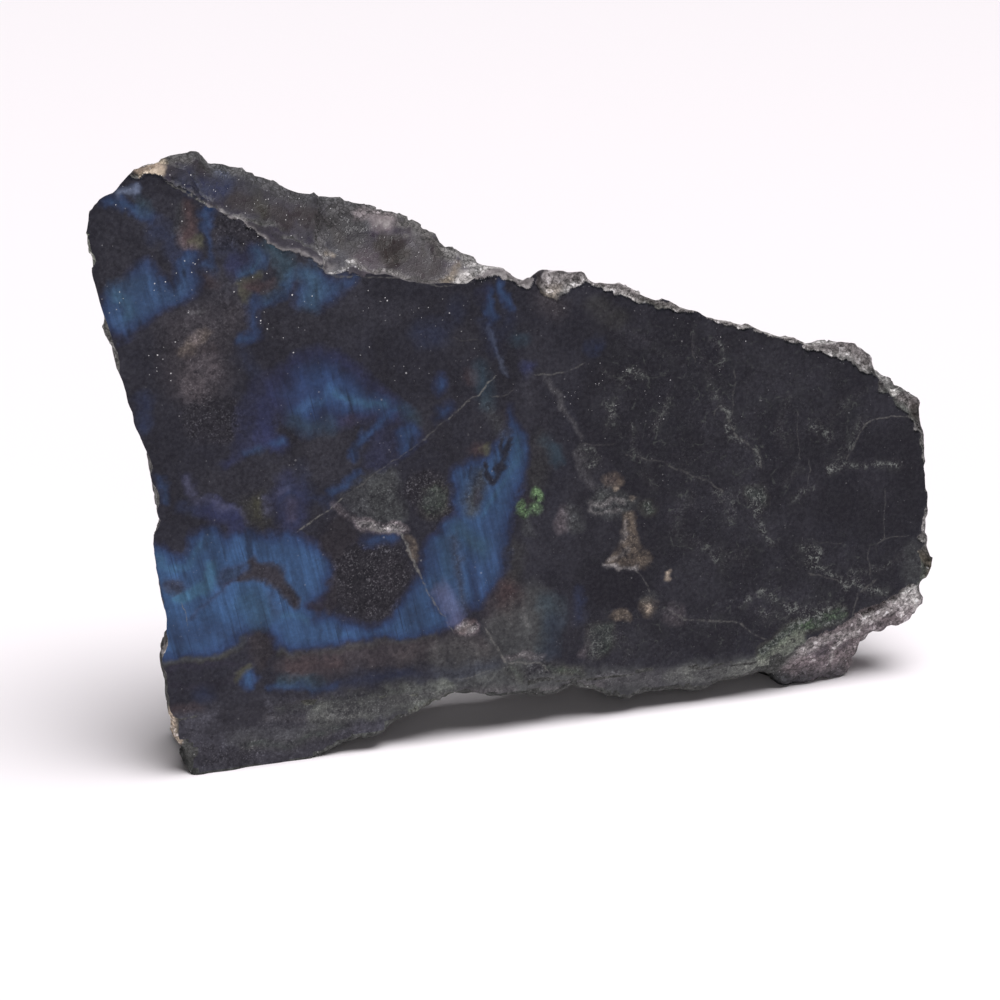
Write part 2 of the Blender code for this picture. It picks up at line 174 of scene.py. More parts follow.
# Marks in the order in which they lie on each other: finish, cover, half width, points. A half width of
# zero makes a closed patch of its points, and any other a band along them.
MARKS = {
    # the quiet ground
    "right_ground": ("calm", 0.9, 0, ((9, 47), (22, 45), (38, 41), (50, 33), (52, 14), (42, 7), (24, 6),
        (10, 8), (8, 20), (9, 33))),
    "nub_moss": ("sage", 0.5, 0, ((47.6, 16), (49.6, 16.6), (50.8, 14.4), (50.6, 11.4), (48.2, 11.2),
        (47.4, 13.4))),
    "web_upper": ("web", 0.8, 0, ((11, 43), (16, 44.5), (24, 43), (32, 40), (40, 37.5), (43, 33),
        (42, 27.5), (36, 28), (33, 26), (31, 20), (25, 20.5), (20, 24), (12, 32))),
    "web_lower": ("web", 0.75, 0, ((9, 13), (14, 12), (20, 13), (27, 14.5), (34, 17.5), (39, 18),
        (45, 17), (48, 16), (47, 10.5), (43, 9.5), (37, 8), (30, 6), (18, 6), (10, 6.5))),
    "web_middle": ("web", 0.55, 0, ((17, 25), (22, 24), (31, 21), (34, 25), (34, 20), (28, 15), (20, 14),
        (18, 18))),
    "quiet_pane": ("calm", 0.85, 0, ((37, 25), (43.6, 25), (44.8, 22), (44.6, 18.6), (41, 18.3),
        (37.4, 19), (36.8, 22))),
    "quiet_corner": ("calm", 0.8, 0, ((43.4, 30.2), (48, 30.3), (48.6, 27), (44.6, 27.2), (42.8, 28.6))),
    "smoky_field": ("smoke", 0.5, 0, ((-35.6, 49.6), (-33, 50.2), (-30, 51.4), (-27.4, 51), (-27, 48.6),
        (-28.6, 46), (-28.8, 43.4), (-29.4, 41.4), (-31, 40.8), (-33.6, 41), (-35.2, 42.6), (-35.8, 46))),
    "slate_pool": ("slate", 0.32, 0, ((-33.2, 33.6), (-29, 33), (-26, 34.2), (-24.2, 33.6), (-23.2, 31.8),
        (-24.6, 30.4), (-28, 29.4), (-31.4, 30.2), (-32.6, 31))),
    "slate_shore": ("slate", 0.3, 0, ((-21.6, 36), (-18, 36.4), (-15.8, 35), (-15.6, 32.4), (-18, 30.8),
        (-20.8, 31.4), (-21.8, 33.6))),
    "slate_top": ("slate", 0.28, 0, ((-25, 48.6), (-20, 48.4), (-15, 49.6), (-10, 49.8), (-9, 47.6),
        (-13, 45.8), (-18, 45.4), (-24, 45.2))),
    "dark_cell": ("soot", 0.6, 0, ((-33.4, 41), (-29.2, 41.2), (-27.6, 39), (-28.4, 36.6), (-32, 36.4),
        (-33.8, 38.4))),
    "speckled_cell": ("soot", 0.7, 0, ((-29.8, 60.2), (-27, 58.6), (-25.6, 57.2), (-26, 56),
        (-28.4, 56.2), (-29.8, 57.2))),
    "lower_dusk": ("plum", 0.4, 0, ((-37, 12.6), (-28, 12.6), (-27.6, 10.6), (-36.6, 10.2))),
    "olive_floor": ("moss", 0.5, 0, ((-12, 11.8), (-4.6, 11.6), (-0.6, 11), (0.2, 9), (-6, 9.2),
        (-12, 9.6))),
    "toe_block": ("slate", 0.9, 0, ((-38, 8), (-30, 7.8), (-22, 7.6), (-14, 7.3), (-9, 7.2), (-9, 2),
        (-20, -2), (-38, -2))),
    "bottom_band": ("frosted", 0.9, 0, ((-15, 7), (-8, 7.7), (-3, 7.8), (2, 8.1), (6, 7.6), (10, 6.2),
        (14, 5.4), (22, 5.2), (31, 5), (31, 1), (8, 3), (0, 3.5), (-9, 3.8), (-15, 4.4))),

    # the big blue sheet at the lower left, and what breaks it
    "lower_sheet": ("sheet", 1.0, 0, ((-38.2, 26.4), (-36.4, 26.3), (-35.6, 25.9), (-34.9, 25.1),
        (-34.2, 24.4), (-33.6, 24.7), (-33.3, 26), (-32.9, 26.9), (-32, 27.4), (-31, 27.3), (-30.4, 26.7),
        (-30, 26), (-29.2, 25.9), (-28.4, 26.4), (-27.4, 26.7), (-26.4, 26.6), (-25, 26.2), (-23.8, 25.8),
        (-22.6, 25.6), (-21.8, 25.1), (-21, 24.6), (-20, 24.2), (-19.2, 23.6), (-18.4, 22.8), (-18, 21.8),
        (-18.3, 20.9), (-18.7, 19.9), (-19, 19.2), (-19.8, 18.6), (-20.8, 18.2), (-21.3, 17.4),
        (-20.6, 16.8), (-19.4, 16.9), (-18.6, 16.4), (-17.8, 15.9), (-16.8, 15.3), (-15.6, 14.8),
        (-14.4, 14.4), (-13.2, 14.5), (-12.4, 15.2), (-11.6, 16.2), (-10.6, 17.2), (-9.8, 18.4),
        (-9.3, 19.8), (-8.9, 21.4), (-8.3, 23), (-7.4, 24.1), (-6.6, 24.2), (-6, 23.4), (-5.5, 22),
        (-5, 20), (-4.8, 18), (-4.2, 16), (-4.6, 14), (-5.6, 13.1), (-7.2, 12.8), (-9.5, 12.7),
        (-12, 12.6), (-14.2, 12.7), (-17, 12.5), (-20, 12.4), (-22.4, 12.4), (-23.9, 12.8), (-24.9, 13.6),
        (-25.2, 14.8), (-25.8, 15.5), (-26.6, 15.6), (-27.4, 15), (-28.2, 14.5), (-29.4, 14),
        (-30.8, 13.7), (-32.6, 13.5), (-34.4, 13.3), (-36.2, 13.2), (-38.2, 13.4), (-38.2, 18),
        (-39.4, 22))),
    "west_cyan": ("cyan", 0.75, 1.0, ((-34.8, 20), (-33.6, 20.6), (-32.4, 20.9), (-31.5, 21.8),
        (-31.4, 23.2))),
    "west_pale": ("cyan", 0.35, 0.8, ((-37, 24.8), (-35.8, 24), (-34.6, 23.2), (-33.4, 23.6),
        (-32.4, 25.4))),
    "south_teal": ("teal", 0.45, 1.2, ((-27.4, 19.2), (-26.4, 18), (-26.2, 16.8))),
    "south_cyan": ("cyan", 0.4, 0.6, ((-24.2, 16.6), (-22.8, 16.7), (-21.6, 16.3))),
    "bay_deep": ("deep", 0.45, 1.3, ((-35, 16.2), (-31.6, 16), (-29.4, 15.6))),
    "plum_bay": ("plum", 0.72, 0, ((-30.9, 21.8), (-30.3, 23), (-29.2, 23.6), (-28.2, 23.4),
        (-27.7, 22.6), (-28.3, 21.4), (-29.4, 21.1), (-30.4, 21.1))),
    "dark_island": ("umber", 0.95, 0, ((-27.7, 23.9), (-27, 24.2), (-26.3, 23.4), (-25.4, 23.2),
        (-24.4, 22.9), (-23.8, 21.9), (-23.3, 20.8), (-22.7, 19.8), (-22.2, 18.6), (-22.4, 17.6),
        (-23.3, 17.4), (-23.9, 18.5), (-24.6, 19.7), (-25.6, 20.5), (-26.6, 20.8), (-27.4, 21.4),
        (-28.6, 20.9), (-28.4, 21.8), (-27.7, 22.6))),
    "island_crack": ("plum", 0.7, 0.12, ((-29.2, 21.5), (-30.4, 20.7), (-31.4, 19.8), (-32.4, 18.7),
        (-33.4, 17.8))),
    "island_spur": ("plum", 0.45, 0.2, ((-25.3, 19.4), (-25, 18), (-24.8, 16.6))),
    "west_knot": ("umber", 0.75, 0, oval(-35.4, 21.2, 0.75, 0.85)),
    "west_knot_halo": ("plum", 0.4, 0.4, ((-36.8, 21.6), (-35.4, 22.2), (-34.4, 21.4))),
    "east_notch": ("plum", 0.6, 0.35, ((-21.2, 18.1), (-20.4, 17.7), (-19.6, 18.2))),
    "east_seed": ("umber", 0.6, 0, oval(-19.2, 17.2, 0.32, 0.65)),
    "south_notch": ("umber", 0.8, 0, ((-27.3, 15), (-26.4, 15.2), (-25.4, 14.4), (-25.2, 13),
        (-25.6, 11.6), (-26.6, 11.4), (-27.2, 12.8))),
    "shore_gold": ("gold", 0.4, 0.08, ((-37, 13), (-34, 13.1), (-31.6, 13.3), (-30, 13.5), (-28.6, 14),
        (-27.7, 14.7))),
    "shore_gold_east": ("gold", 0.4, 0.08, ((-24.6, 12.9), (-23.6, 12.3), (-22, 12.1), (-19, 12.1),
        (-15, 12.3), (-11.5, 12.4), (-7, 12.5))),

    # bands below the sheet
    "bronze_band": ("bronze", 0.7, 0, ((-25, 11.8), (-22, 12.1), (-17, 12.1), (-12, 12.2), (-6, 12.2),
        (-2.6, 11.6), (0.2, 10.6), (-0.4, 9.2), (-5, 9.6), (-11, 9.9), (-16, 9.6), (-20, 9.7),
        (-23.6, 10.4))),
    "bronze_heart": ("rust", 0.4, 0.5, ((-23.2, 11.2), (-21, 10.9), (-18.2, 10.7))),
    "blue_bead": ("azure", 0.95, 0, oval(-27.7, 10.2, 0.6, 1.05, -10)),
    "bead_crown": ("gold", 0.6, 0.3, ((-28.7, 10.6), (-28.2, 11.3), (-27.6, 11.5))),
    "left_bead": ("deep", 0.55, 0, oval(-32.5, 9.3, 0.8, 0.7)),
    "keel_streak": ("azure", 0.65, 0.28, ((-25.6, 9), (-24.6, 9.4), (-23.2, 9.3), (-21.8, 8.9),
        (-20.6, 8.4), (-19.2, 8.1), (-18, 8.1))),
    "keel_teal": ("teal", 0.55, 0.25, ((-24.2, 9.9), (-22.6, 9.8), (-21.2, 9.3), (-19.8, 8.9))),
    "keel_fade": ("deep", 0.5, 0.35, ((-19, 8.1), (-15, 8.4), (-10, 8.3), (-5, 8.2), (0, 8.3))),
    "toe_rust": ("rust", 0.5, 0.25, ((-36.4, 8), (-34.8, 7.9), (-33.2, 7.7))),

    # the dark knots and pale seams in the middle
    "umber_neck": ("umber", 0.5, 0, ((-20.4, 24), (-18.8, 26.6), (-17.6, 27.4), (-16.2, 25.8),
        (-15.6, 24.6), (-16.6, 23.6), (-17.6, 22.2), (-18.2, 20.2), (-17.8, 17.4), (-18.7, 17),
        (-19, 18.8), (-18, 21.4), (-18.6, 23))),
    "soot_knot": ("soot", 0.95, 0, ((-17.6, 22.8), (-16.4, 23.8), (-15, 23.4), (-12.6, 23), (-11.2, 22.4),
        (-10.2, 21.2), (-9.8, 20), (-10.2, 18.8), (-11, 17.4), (-12, 16), (-13.4, 15.2), (-15, 15.4),
        (-16.6, 16.4), (-17.8, 17.6), (-18.2, 19.2), (-18, 21))),
    "sage_shelf": ("sage", 0.62, 0, ((-17.4, 29.2), (-15.8, 30.4), (-14, 31), (-12.2, 31.4),
        (-11.2, 30.8), (-10.8, 29), (-10.6, 26.8), (-10.8, 25.4), (-12.4, 25.6), (-14.2, 25.9),
        (-15.6, 26.3), (-16.6, 27.2))),
    "moss_knot": ("soot", 0.85, 0, ((-10.2, 30.4), (-8.4, 31.2), (-6.8, 30.6), (-5.9, 29.2), (-5.5, 27.6),
        (-5.2, 26), (-6.2, 25), (-8, 25.6), (-9.4, 27), (-10.2, 28.6))),
    "moss_knot_green": ("leafwork", 0.6, 0, oval(-7.2, 27.6, 1.6, 2.0)),
    "under_shelf_blue": ("sheet", 0.95, 0, ((-15.4, 24.1), (-14, 24.5), (-12.6, 24.6), (-11.2, 24.2),
        (-11.8, 23.3), (-13.4, 23.1), (-15, 23.3))),
    "shelf_crust": ("sugar", 0.8, 0, ((-16.6, 26.8), (-15.4, 26.2), (-14.2, 26), (-12.6, 25.7),
        (-11, 25.5), (-10.2, 24.4), (-11, 24.2), (-12.4, 24.6), (-13.6, 24.5), (-14.8, 24.9),
        (-15.8, 25.6))),
    "shelf_lip": ("sugar", 0.6, 0.14, ((-18.4, 28.5), (-17.6, 27.6), (-16.9, 26.8))),
    "shelf_tan": ("tan", 0.5, 0, ((-10.8, 23.9), (-9.8, 23.5), (-9.3, 22.2), (-9.6, 21.4), (-10.2, 22.4))),

    # the flame
    "flame": ("sheet", 1.0, 0, ((1.2, 37.8), (1.7, 36), (2.3, 34.2), (2.8, 32.2), (3.2, 30.2),
        (3.1, 28.6), (2.4, 27.3), (1.9, 26.3), (1.6, 25), (1.3, 23.4), (1.1, 21.4), (1, 19.6),
        (0.6, 18.2), (-0.3, 17.2), (-1.3, 16), (-2.1, 15), (-3.2, 15), (-3.7, 17), (-4, 19.5), (-4.4, 22),
        (-4.9, 24.4), (-5.3, 26.4), (-5.4, 28.6), (-5.7, 30.6), (-5.2, 31.4), (-3.8, 31.4), (-2.5, 31.6),
        (-1.5, 32.2), (-0.6, 33.2), (0.1, 34.4), (0.6, 36))),
    "sheet_bridge": ("sheet", 1.0, 0, ((-7.8, 23.4), (-6.4, 24.6), (-5.2, 25.6), (-4.2, 25), (-3, 22.4),
        (-2.4, 18.6), (-2.2, 16.2), (-3.2, 14.8), (-4.8, 14), (-6.4, 14), (-7.6, 17))),
    "flame_cyan": ("cyan", 0.55, 0.55, ((1.6, 33.4), (1.9, 31), (1, 29.2), (-0.4, 27.4), (-1.4, 25.6))),
    "flame_teal": ("teal", 0.6, 0.9, ((-4.6, 24), (-3.2, 22.6), (-2, 21.4))),
    "flame_teal_low": ("teal", 0.35, 0.8, ((-6.6, 22.6), (-5.8, 20.6), (-7, 18.6))),
    "flame_violet": ("violet", 0.25, 0.7, ((-0.6, 24.6), (-0.2, 22), (-1.6, 17.6))),
    "olive_eye": ("moss", 0.95, 0, ((-3.9, 26.2), (-3.9, 27.6), (-3.4, 29), (-2.8, 30.2), (-2.2, 30.5),
        (-1.9, 29.4), (-1.8, 28), (-2, 26.7), (-2.6, 25.7), (-3.3, 25.5))),
    "eye_pupil": ("plum", 0.7, 0, oval(-2.45, 27.6, 0.3, 0.7)),
    "flame_hole_a": ("ink", 0.95, 0.22, ((-0.2, 33), (0, 32.4), (0.3, 31.9))),
    "flame_hole_b": ("ink", 0.95, 0.3, ((0.9, 33), (0.8, 32.2), (0.7, 31.4), (0.3, 30.7), (0.2, 29.9))),
    "flame_notch": ("ink", 0.95, 0.3, ((-1.9, 31), (-1.6, 30.1), (-1.3, 29.3), (-1.1, 28.6), (-0.8, 28.5),
        (-0.5, 29.4), (-0.2, 30.5))),
    "flame_root": ("umber", 0.7, 0.3, ((0.2, 34.8), (0.6, 34.2), (0.5, 33.6))),
    "flame_root_up": ("umber", 0.5, 0.4, ((0.1, 36.8), (0.3, 35.6))),
    "flame_sage": ("sage", 0.4, 0.4, ((-1.6, 37.6), (-0.8, 36), (-0.3, 34.2), (-0.2, 33.6))),
    "flame_rust": ("rust", 0.55, 0, oval(-2.7, 32.6, 0.6, 0.3)),
    "flame_gold": ("gold", 0.7, 0, oval(-1.8, 32.4, 0.25, 0.4)),
    "lower_lilac": ("lilac", 0.6, 0.85, ((-6.8, 17.9), (-6.2, 16.8), (-5.4, 15.4), (-5, 14.2))),
    "grey_strip": ("slate", 0.9, 0.22, ((-5.4, 22.9), (-4.9, 20.8), (-4.6, 18.2), (-4.2, 16.2), (-3.9, 15))),
    "flame_dusk": ("bronze", 0.75, 0, ((0.4, 18.6), (1.6, 18.2), (2.8, 16.8), (3.4, 14.8), (3, 13),
        (1.6, 11.6), (0.1, 11.2), (-1.1, 12.2), (-1.4, 14), (-1, 15.6), (-0.3, 16.8))),
    "flame_dusk_heart": ("rust", 0.7, 0.9, ((0.9, 16.8), (1.5, 15.2), (1, 14.2))),
    "flame_moss": ("moss", 0.5, 0.7, ((1.6, 21.4), (1.9, 19.4), (1.9, 18.2))),
    "pale_stroke": ("chalk", 0.5, 0.08, ((2.2, 14.5), (2.6, 13.6), (2.9, 12.8), (3.1, 12.2))),
    "junction": ("sugar", 0.75, 0, oval(-3.7, 12.7, 1.5, 0.95, -15)),
    "junction_rust": ("rust", 0.85, 0, oval(-4.2, 12.5, 0.35, 0.25)),
    "junction_rust_top": ("rust", 0.8, 0, oval(-3.2, 13.2, 0.4, 0.22)),
    "teal_pool": ("frosted", 0.75, 0, ((-1.6, 12.7), (-0.5, 13.9), (1.4, 14.8), (2.3, 16.3), (3.8, 17.6),
        (5.4, 16.8), (6.4, 14.8), (6.8, 12.5), (6.4, 10.3), (6, 7.6), (3.4, 7.7), (0.7, 7.8), (-0.3, 10))),
    "teal_pool_blue": ("teal", 0.35, 1.0, ((5.5, 15), (6.2, 12.8), (5.5, 9.3))),
    "pool_deep": ("deep", 0.45, 0.5, ((6.2, 12.4), (6.2, 10.4), (6, 8.8))),
    "right_deep": ("deep", 0.55, 0.5, ((8.9, 15.6), (9.1, 14), (9, 12.6))),
    "flame_right_teal": ("teal", 0.55, 0.2, ((4.8, 32.9), (5.6, 32.3), (6.1, 31.4), (6.4, 30.4))),
    "flame_right_moss": ("moss", 0.4, 0.9, ((4.2, 33), (4.6, 30.8), (4.2, 28.6))),

    # the tongue of blue in the middle
    "tongue": ("glow", 1.0, 0, ((-22.2, 43.9), (-20.6, 44.6), (-19, 44.8), (-17.4, 44.2), (-16.2, 43),
        (-15.2, 42.2), (-14.4, 41.2), (-13.4, 40.4), (-12.4, 39.6), (-11.6, 38.8), (-10.6, 38.1),
        (-9.9, 37.3), (-10.4, 36.8), (-11.6, 37), (-12.8, 36.9), (-13.6, 37.4), (-15, 37.5),
        (-16.4, 37.2), (-17.8, 37), (-19.2, 36.8), (-20.6, 36.6), (-22, 37), (-23.2, 38), (-23.8, 39.4),
        (-24.8, 40.4), (-24.2, 41.8), (-23.2, 42.9))),
    "tongue_bright": ("azure", 0.8, 0.75, ((-21.8, 39), (-20.6, 39.8), (-19.4, 39.4), (-18.2, 40.6))),
    "tongue_cyan": ("cyan", 0.5, 0.6, ((-17.6, 40), (-16.2, 39.6), (-15, 39.2), (-13.6, 38.6),
        (-12.4, 38.2))),
    "tongue_teal": ("teal", 0.5, 0.6, ((-22.4, 37.6), (-20.6, 37), (-18.6, 36.8))),
    "tongue_rust": ("rust", 0.25, 0, oval(-16.2, 37.4, 0.8, 0.5)),
    "tongue_left": ("violet", 0.75, 0.6, ((-25.6, 39.4), (-25.3, 37.8), (-25.4, 36.6), (-24.8, 35.6),
        (-23.9, 35))),
    "tongue_left_blue": ("azure", 0.65, 0, oval(-24.1, 35.5, 0.8, 0.6)),
    "tongue_fringe": ("cyan", 0.5, 0.14, ((-27.4, 34.9), (-26.6, 35), (-25.8, 34.9))),
    "tongue_fringe_left": ("violet", 0.65, 0.22, ((-29.5, 33.8), (-28.8, 34), (-28.2, 34.4))),
    "tongue_haze": ("violet", 0.3, 1.6, ((-27, 36.4), (-25.4, 42), (-22, 41))),
    "arc_haze": ("violet", 0.35, 1.2, ((-13, 35.2), (-11.8, 33.8), (-13.4, 32.8))),
    "arc": ("azure", 0.85, 0.34, ((-11.4, 37.5), (-12.8, 37), (-13.8, 36.2), (-14.8, 35.2), (-15.6, 34.3),
        (-15.9, 33.3))),
    "arc_end": ("teal", 0.5, 0.4, ((-10.6, 37.9), (-9.6, 37), (-9, 36.2))),
    "heel": ("sheet", 0.95, 0, ((-11.5, 35.2), (-10.3, 36), (-9.2, 36.2), (-8.3, 35.3), (-9, 34.4),
        (-9.8, 33.4), (-10.6, 32.6), (-11.2, 33.4), (-10.9, 34.4))),
    "drop_low": ("sheet", 0.9, 0, ((-7, 37.8), (-5.8, 37.7), (-4.8, 37.5), (-5.4, 36.6), (-6.3, 35.9),
        (-6.9, 36), (-6.7, 36.9))),
    "drop_high": ("sheet", 0.9, 0, oval(-6.6, 40.1, 0.75, 1.15)),
    "small_rust": ("rust", 0.4, 0, oval(-3.1, 40.6, 0.6, 1.0)),
    "mid_teal": ("teal", 0.4, 0.6, ((-2.2, 41.2), (-1.8, 39.6), (-1.6, 37.8))),
    "right_drop": ("violet", 0.9, 0, oval(3.0, 40.9, 0.6, 0.55)),
    "slate_drop": ("slate", 0.5, 0.4, ((3, 40), (3.4, 38.6), (3.6, 37.6))),

    # upper streaks
    "top_streak": ("azure", 0.9, 0.34, ((-1.2, 49.2), (-1.3, 48.2), (-1.2, 47.2), (-0.9, 46.3))),
    "top_streak_tail": ("frost", 0.42, 0.1, ((-1.2, 45.6), (-0.7, 44.4), (-0.3, 43.4), (0.1, 42.2),
        (0.5, 41), (0.7, 40.3))),
    "top_streak_glow": ("deep", 0.5, 0.4, ((-1.3, 46.2), (-0.8, 44.4), (-0.2, 42.8))),
    "top_twin": ("azure", 0.85, 0.36, ((-0.1, 50), (0.3, 49), (0.7, 48), (0.9, 47.5))),
    "top_violet": ("violet", 0.4, 0, oval(-1.9, 49.2, 0.7, 0.6)),
    "top_deep": ("deep", 0.4, 0.5, ((0.8, 46), (0.6, 44.8))),
    "top_teal_small": ("teal", 0.4, 0, oval(2.1, 44.0, 0.6, 0.35)),
    "top_teal": ("deep", 0.28, 0, oval(-7.6, 45.8, 2.0, 1.6)),
    "top_teal_right": ("deep", 0.25, 0, oval(-4.8, 47.6, 0.9, 1.2)),
    "olive_glow": ("moss", 0.6, 0, oval(11.8, 46.0, 2.6, 1.2, -30)),
    "olive_glow_blue": ("deep", 0.6, 0, oval(10.5, 42.6, 0.8, 0.5)),

    # left edge and the small islands
    "edge_glow_high": ("deep", 0.65, 0.5, ((-37.6, 41.4), (-37.4, 40.2), (-37.6, 38.8))),
    "edge_glow_low": ("azure", 0.5, 0.35, ((-36.1, 33.4), (-36.2, 32), (-36.1, 30.8))),
    "shore_deep": ("deep", 0.6, 0.4, ((-34, 29.9), (-33, 29.4), (-32.2, 29.5))),
    "shore_violet": ("violet", 0.75, 0.7, ((-31.6, 29.2), (-30.4, 28.5), (-29.2, 28.2), (-28.6, 27.2))),
    "shore_line": ("lilac", 0.6, 0.06, ((-33.4, 33.2), (-33, 31.6), (-32.6, 30.4), (-31.4, 29.9),
        (-30.4, 29.3), (-29.3, 28.9), (-28.3, 28.8), (-27.9, 28), (-27.3, 27.4))),
    "olive_isle": ("moss", 0.9, 0, ((-28.2, 29.3), (-27, 29.7), (-26.2, 30.4), (-25.4, 30.6),
        (-24.9, 29.6), (-24.8, 28.2), (-25.4, 27.2), (-26.6, 27.2), (-27.6, 27.9))),
    "isle_gold": ("gold", 0.5, 0.25, ((-26.2, 29.8), (-26.2, 29), (-25.9, 28.2))),
    "isle_lilac": ("lilac", 0.6, 0.25, ((-25.2, 30), (-24.8, 29.2), (-25, 28.6))),
    "isle_dash": ("ink", 0.9, 0.1, ((-24.9, 29.1), (-24.2, 29.1))),
    "violet_column": ("glow", 0.8, 0, ((-24, 31.4), (-23, 31.9), (-22.1, 31), (-21.6, 29.4), (-21.6, 28),
        (-21.9, 26.5), (-23, 26.3), (-23.8, 27.4), (-23.9, 28.8), (-24.3, 30.2))),
    "column_rust": ("rust", 0.4, 0, oval(-22.8, 28.3, 0.4, 1.2)),
    "column_spark": ("lilac", 0.5, 0.2, ((-24, 30.1), (-23.2, 30.5))),
    "column_wisp": ("deep", 0.5, 0.2, ((-21.7, 32.6), (-21.6, 31.4), (-21.2, 30.2))),
    "neck_blue": ("azure", 0.7, 0.32, ((-18.4, 29.8), (-17.3, 30.2), (-16.4, 30.7), (-15.5, 31.3))),
    "neck_deep": ("deep", 0.55, 0.35, ((-20.9, 28.9), (-19.6, 28.8), (-18.8, 28.6))),

    # upper left: band, streaks and the rainbow
    "upper_band": ("sheet", 1.0, 0, ((-41.6, 53), (-40.2, 53.6), (-38.9, 53.9), (-38.2, 54.6),
        (-37.7, 55.5), (-36.9, 55.7), (-36.3, 55), (-35.7, 53.9), (-34.7, 53.5), (-34, 54.2),
        (-34.1, 55.6), (-33.3, 56.3), (-32.2, 56.4), (-31.5, 55.8), (-31.9, 54.2), (-31.5, 53.2),
        (-31.7, 52.2), (-32.6, 51.5), (-33.6, 50.8), (-35, 50.4), (-36.3, 50.1), (-37, 49.3),
        (-38.1, 48.9), (-38.9, 48.2), (-39.6, 47.9), (-40.8, 48.5), (-42.2, 50.4))),
    "band_cyan": ("cyan", 0.55, 0.9, ((-40, 52.4), (-38.9, 51.4), (-39, 50.2))),
    "band_teal_top": ("teal", 0.45, 0.4, ((-40.4, 53), (-39.2, 53.4), (-38.2, 53.4))),
    "peak_blue": ("azure", 0.85, 0.42, ((-40.4, 61.5), (-39.3, 61.2), (-38.4, 60.8), (-37.4, 60.7),
        (-36.6, 60.2))),
    "peak_blue_fall": ("deep", 0.75, 0.35, ((-36.6, 60.2), (-36, 59.3), (-36.1, 58.2))),
    "peak_frost": ("frost", 0.55, 0.3, ((-39.6, 62.1), (-38.6, 62.2), (-37.4, 62.7))),
    "peak_teal": ("teal", 0.6, 0, oval(-37.0, 61.2, 0.5, 0.5)),
    "peak_deep": ("deep", 0.65, 0.4, ((-35.2, 58.6), (-34.4, 58), (-34.2, 57), (-34.6, 56.2))),
    "rust_streak": ("rust", 0.9, 0.5, ((-32.7, 60.8), (-32.5, 59.6), (-32.8, 58.4), (-33, 57.6),
        (-32.6, 57))),
    "rust_streak_edge": ("sage", 0.5, 0.2, ((-33.6, 60.6), (-33.5, 59.4), (-33.7, 58.2))),
    "rust_streak_foot": ("gold", 0.6, 0, oval(-31.8, 57.3, 0.6, 0.6)),
    "rust_streak_rose": ("rose", 0.5, 0.14, ((-33.5, 57.4), (-33.1, 56.8), (-32.2, 56.6))),
    "ridge_blue": ("azure", 0.8, 0.4, ((-30.2, 60.9), (-29.6, 61.6), (-29.3, 62.4))),
    "ridge_deep": ("deep", 0.7, 0.4, ((-32.4, 62.4), (-31.7, 62.8), (-31.2, 62.2))),
    "fall_blue": ("azure", 0.85, 0.42, ((-31, 60.3), (-30.6, 59.4), (-30.5, 58.6))),
    "fall_thin": ("azure", 0.75, 0.24, ((-31.2, 58.8), (-30.9, 57.9), (-30.5, 57), (-30.3, 56),
        (-30.3, 55))),
    "fall_shadow": ("ink", 0.8, 0.16, ((-31.3, 57.8), (-30.9, 56.9), (-30.6, 56))),
    "fall_foot": ("azure", 0.8, 0.4, ((-31, 54.6), (-30.4, 54.2), (-30.2, 53.9))),
    "foot_rust": ("rust", 0.55, 0, oval(-30.4, 53.0, 0.6, 0.7)),
    "foot_ash": ("slate", 0.8, 0.5, ((-29.8, 53.6), (-29, 52.9), (-28.2, 52.2))),
    "deep_well": ("deep", 0.35, 0.8, ((-28.4, 56.2), (-28, 55.2))),
    "rainbow_violet": ("violet", 0.95, 0, oval(-27.6, 54.3, 1.0, 1.2)),
    "rainbow_violet_tip": ("violet", 0.7, 0.25, ((-26.2, 55.8), (-25.9, 54.9))),
    "rainbow_cyan": ("cyan", 1.0, 0.3, ((-27.3, 53.3), (-26.4, 53.4), (-25.7, 53.9), (-25.4, 54.7),
        (-25.6, 55.4))),
    "rainbow_gold": ("gold", 0.8, 0.16, ((-27.8, 52.5), (-27, 52.5), (-26.2, 52.7), (-25.4, 53.1))),
    "rainbow_rust": ("rust", 0.85, 0.35, ((-26.9, 51.9), (-25.8, 51.9), (-24.7, 51.7), (-24, 52.1))),
    "rainbow_gold_low": ("gold", 0.7, 0.2, ((-27.5, 51.8), (-27.1, 51.2), (-26.5, 50.9))),
    "rainbow_arc": ("azure", 0.9, 0.42, ((-22.4, 52.8), (-22.6, 51.8), (-23.4, 51), (-24.6, 50.5),
        (-25.8, 50.4))),
    "rainbow_arc_teal": ("teal", 0.5, 0.3, ((-22.8, 52.6), (-23.4, 51.6), (-24.8, 51))),
    "rainbow_fall": ("sheet", 0.85, 0.55, ((-26, 50.5), (-26.5, 49.4), (-26.2, 48.2), (-26.5, 47.2))),
    "rainbow_drop": ("azure", 0.8, 0.5, ((-27, 47), (-27.8, 46.7))),
    "rainbow_tail": ("deep", 0.4, 0.3, ((-27.9, 46), (-27.2, 44.6), (-26.2, 43.4))),
    "teal_rise": ("teal", 0.6, 0.55, ((-24.2, 56.2), (-23.6, 55.2), (-23.1, 54.2), (-22.4, 53.2))),
    "upper_right_sheet": ("sheet", 0.85, 0, ((-21.9, 53.4), (-20.4, 53.6), (-19, 53.2), (-17.6, 52.6),
        (-16.4, 52.4), (-15.1, 52.3), (-15.3, 51.4), (-16.4, 50.5), (-18, 49.7), (-19.6, 48.8),
        (-20.8, 48.9), (-21.9, 49.6), (-22.3, 50.8), (-21.4, 52))),
    "upper_right_teal": ("teal", 0.55, 0.9, ((-20.6, 52.6), (-19.6, 51.2), (-20.2, 49.9))),

    # pale patches of the smoky field
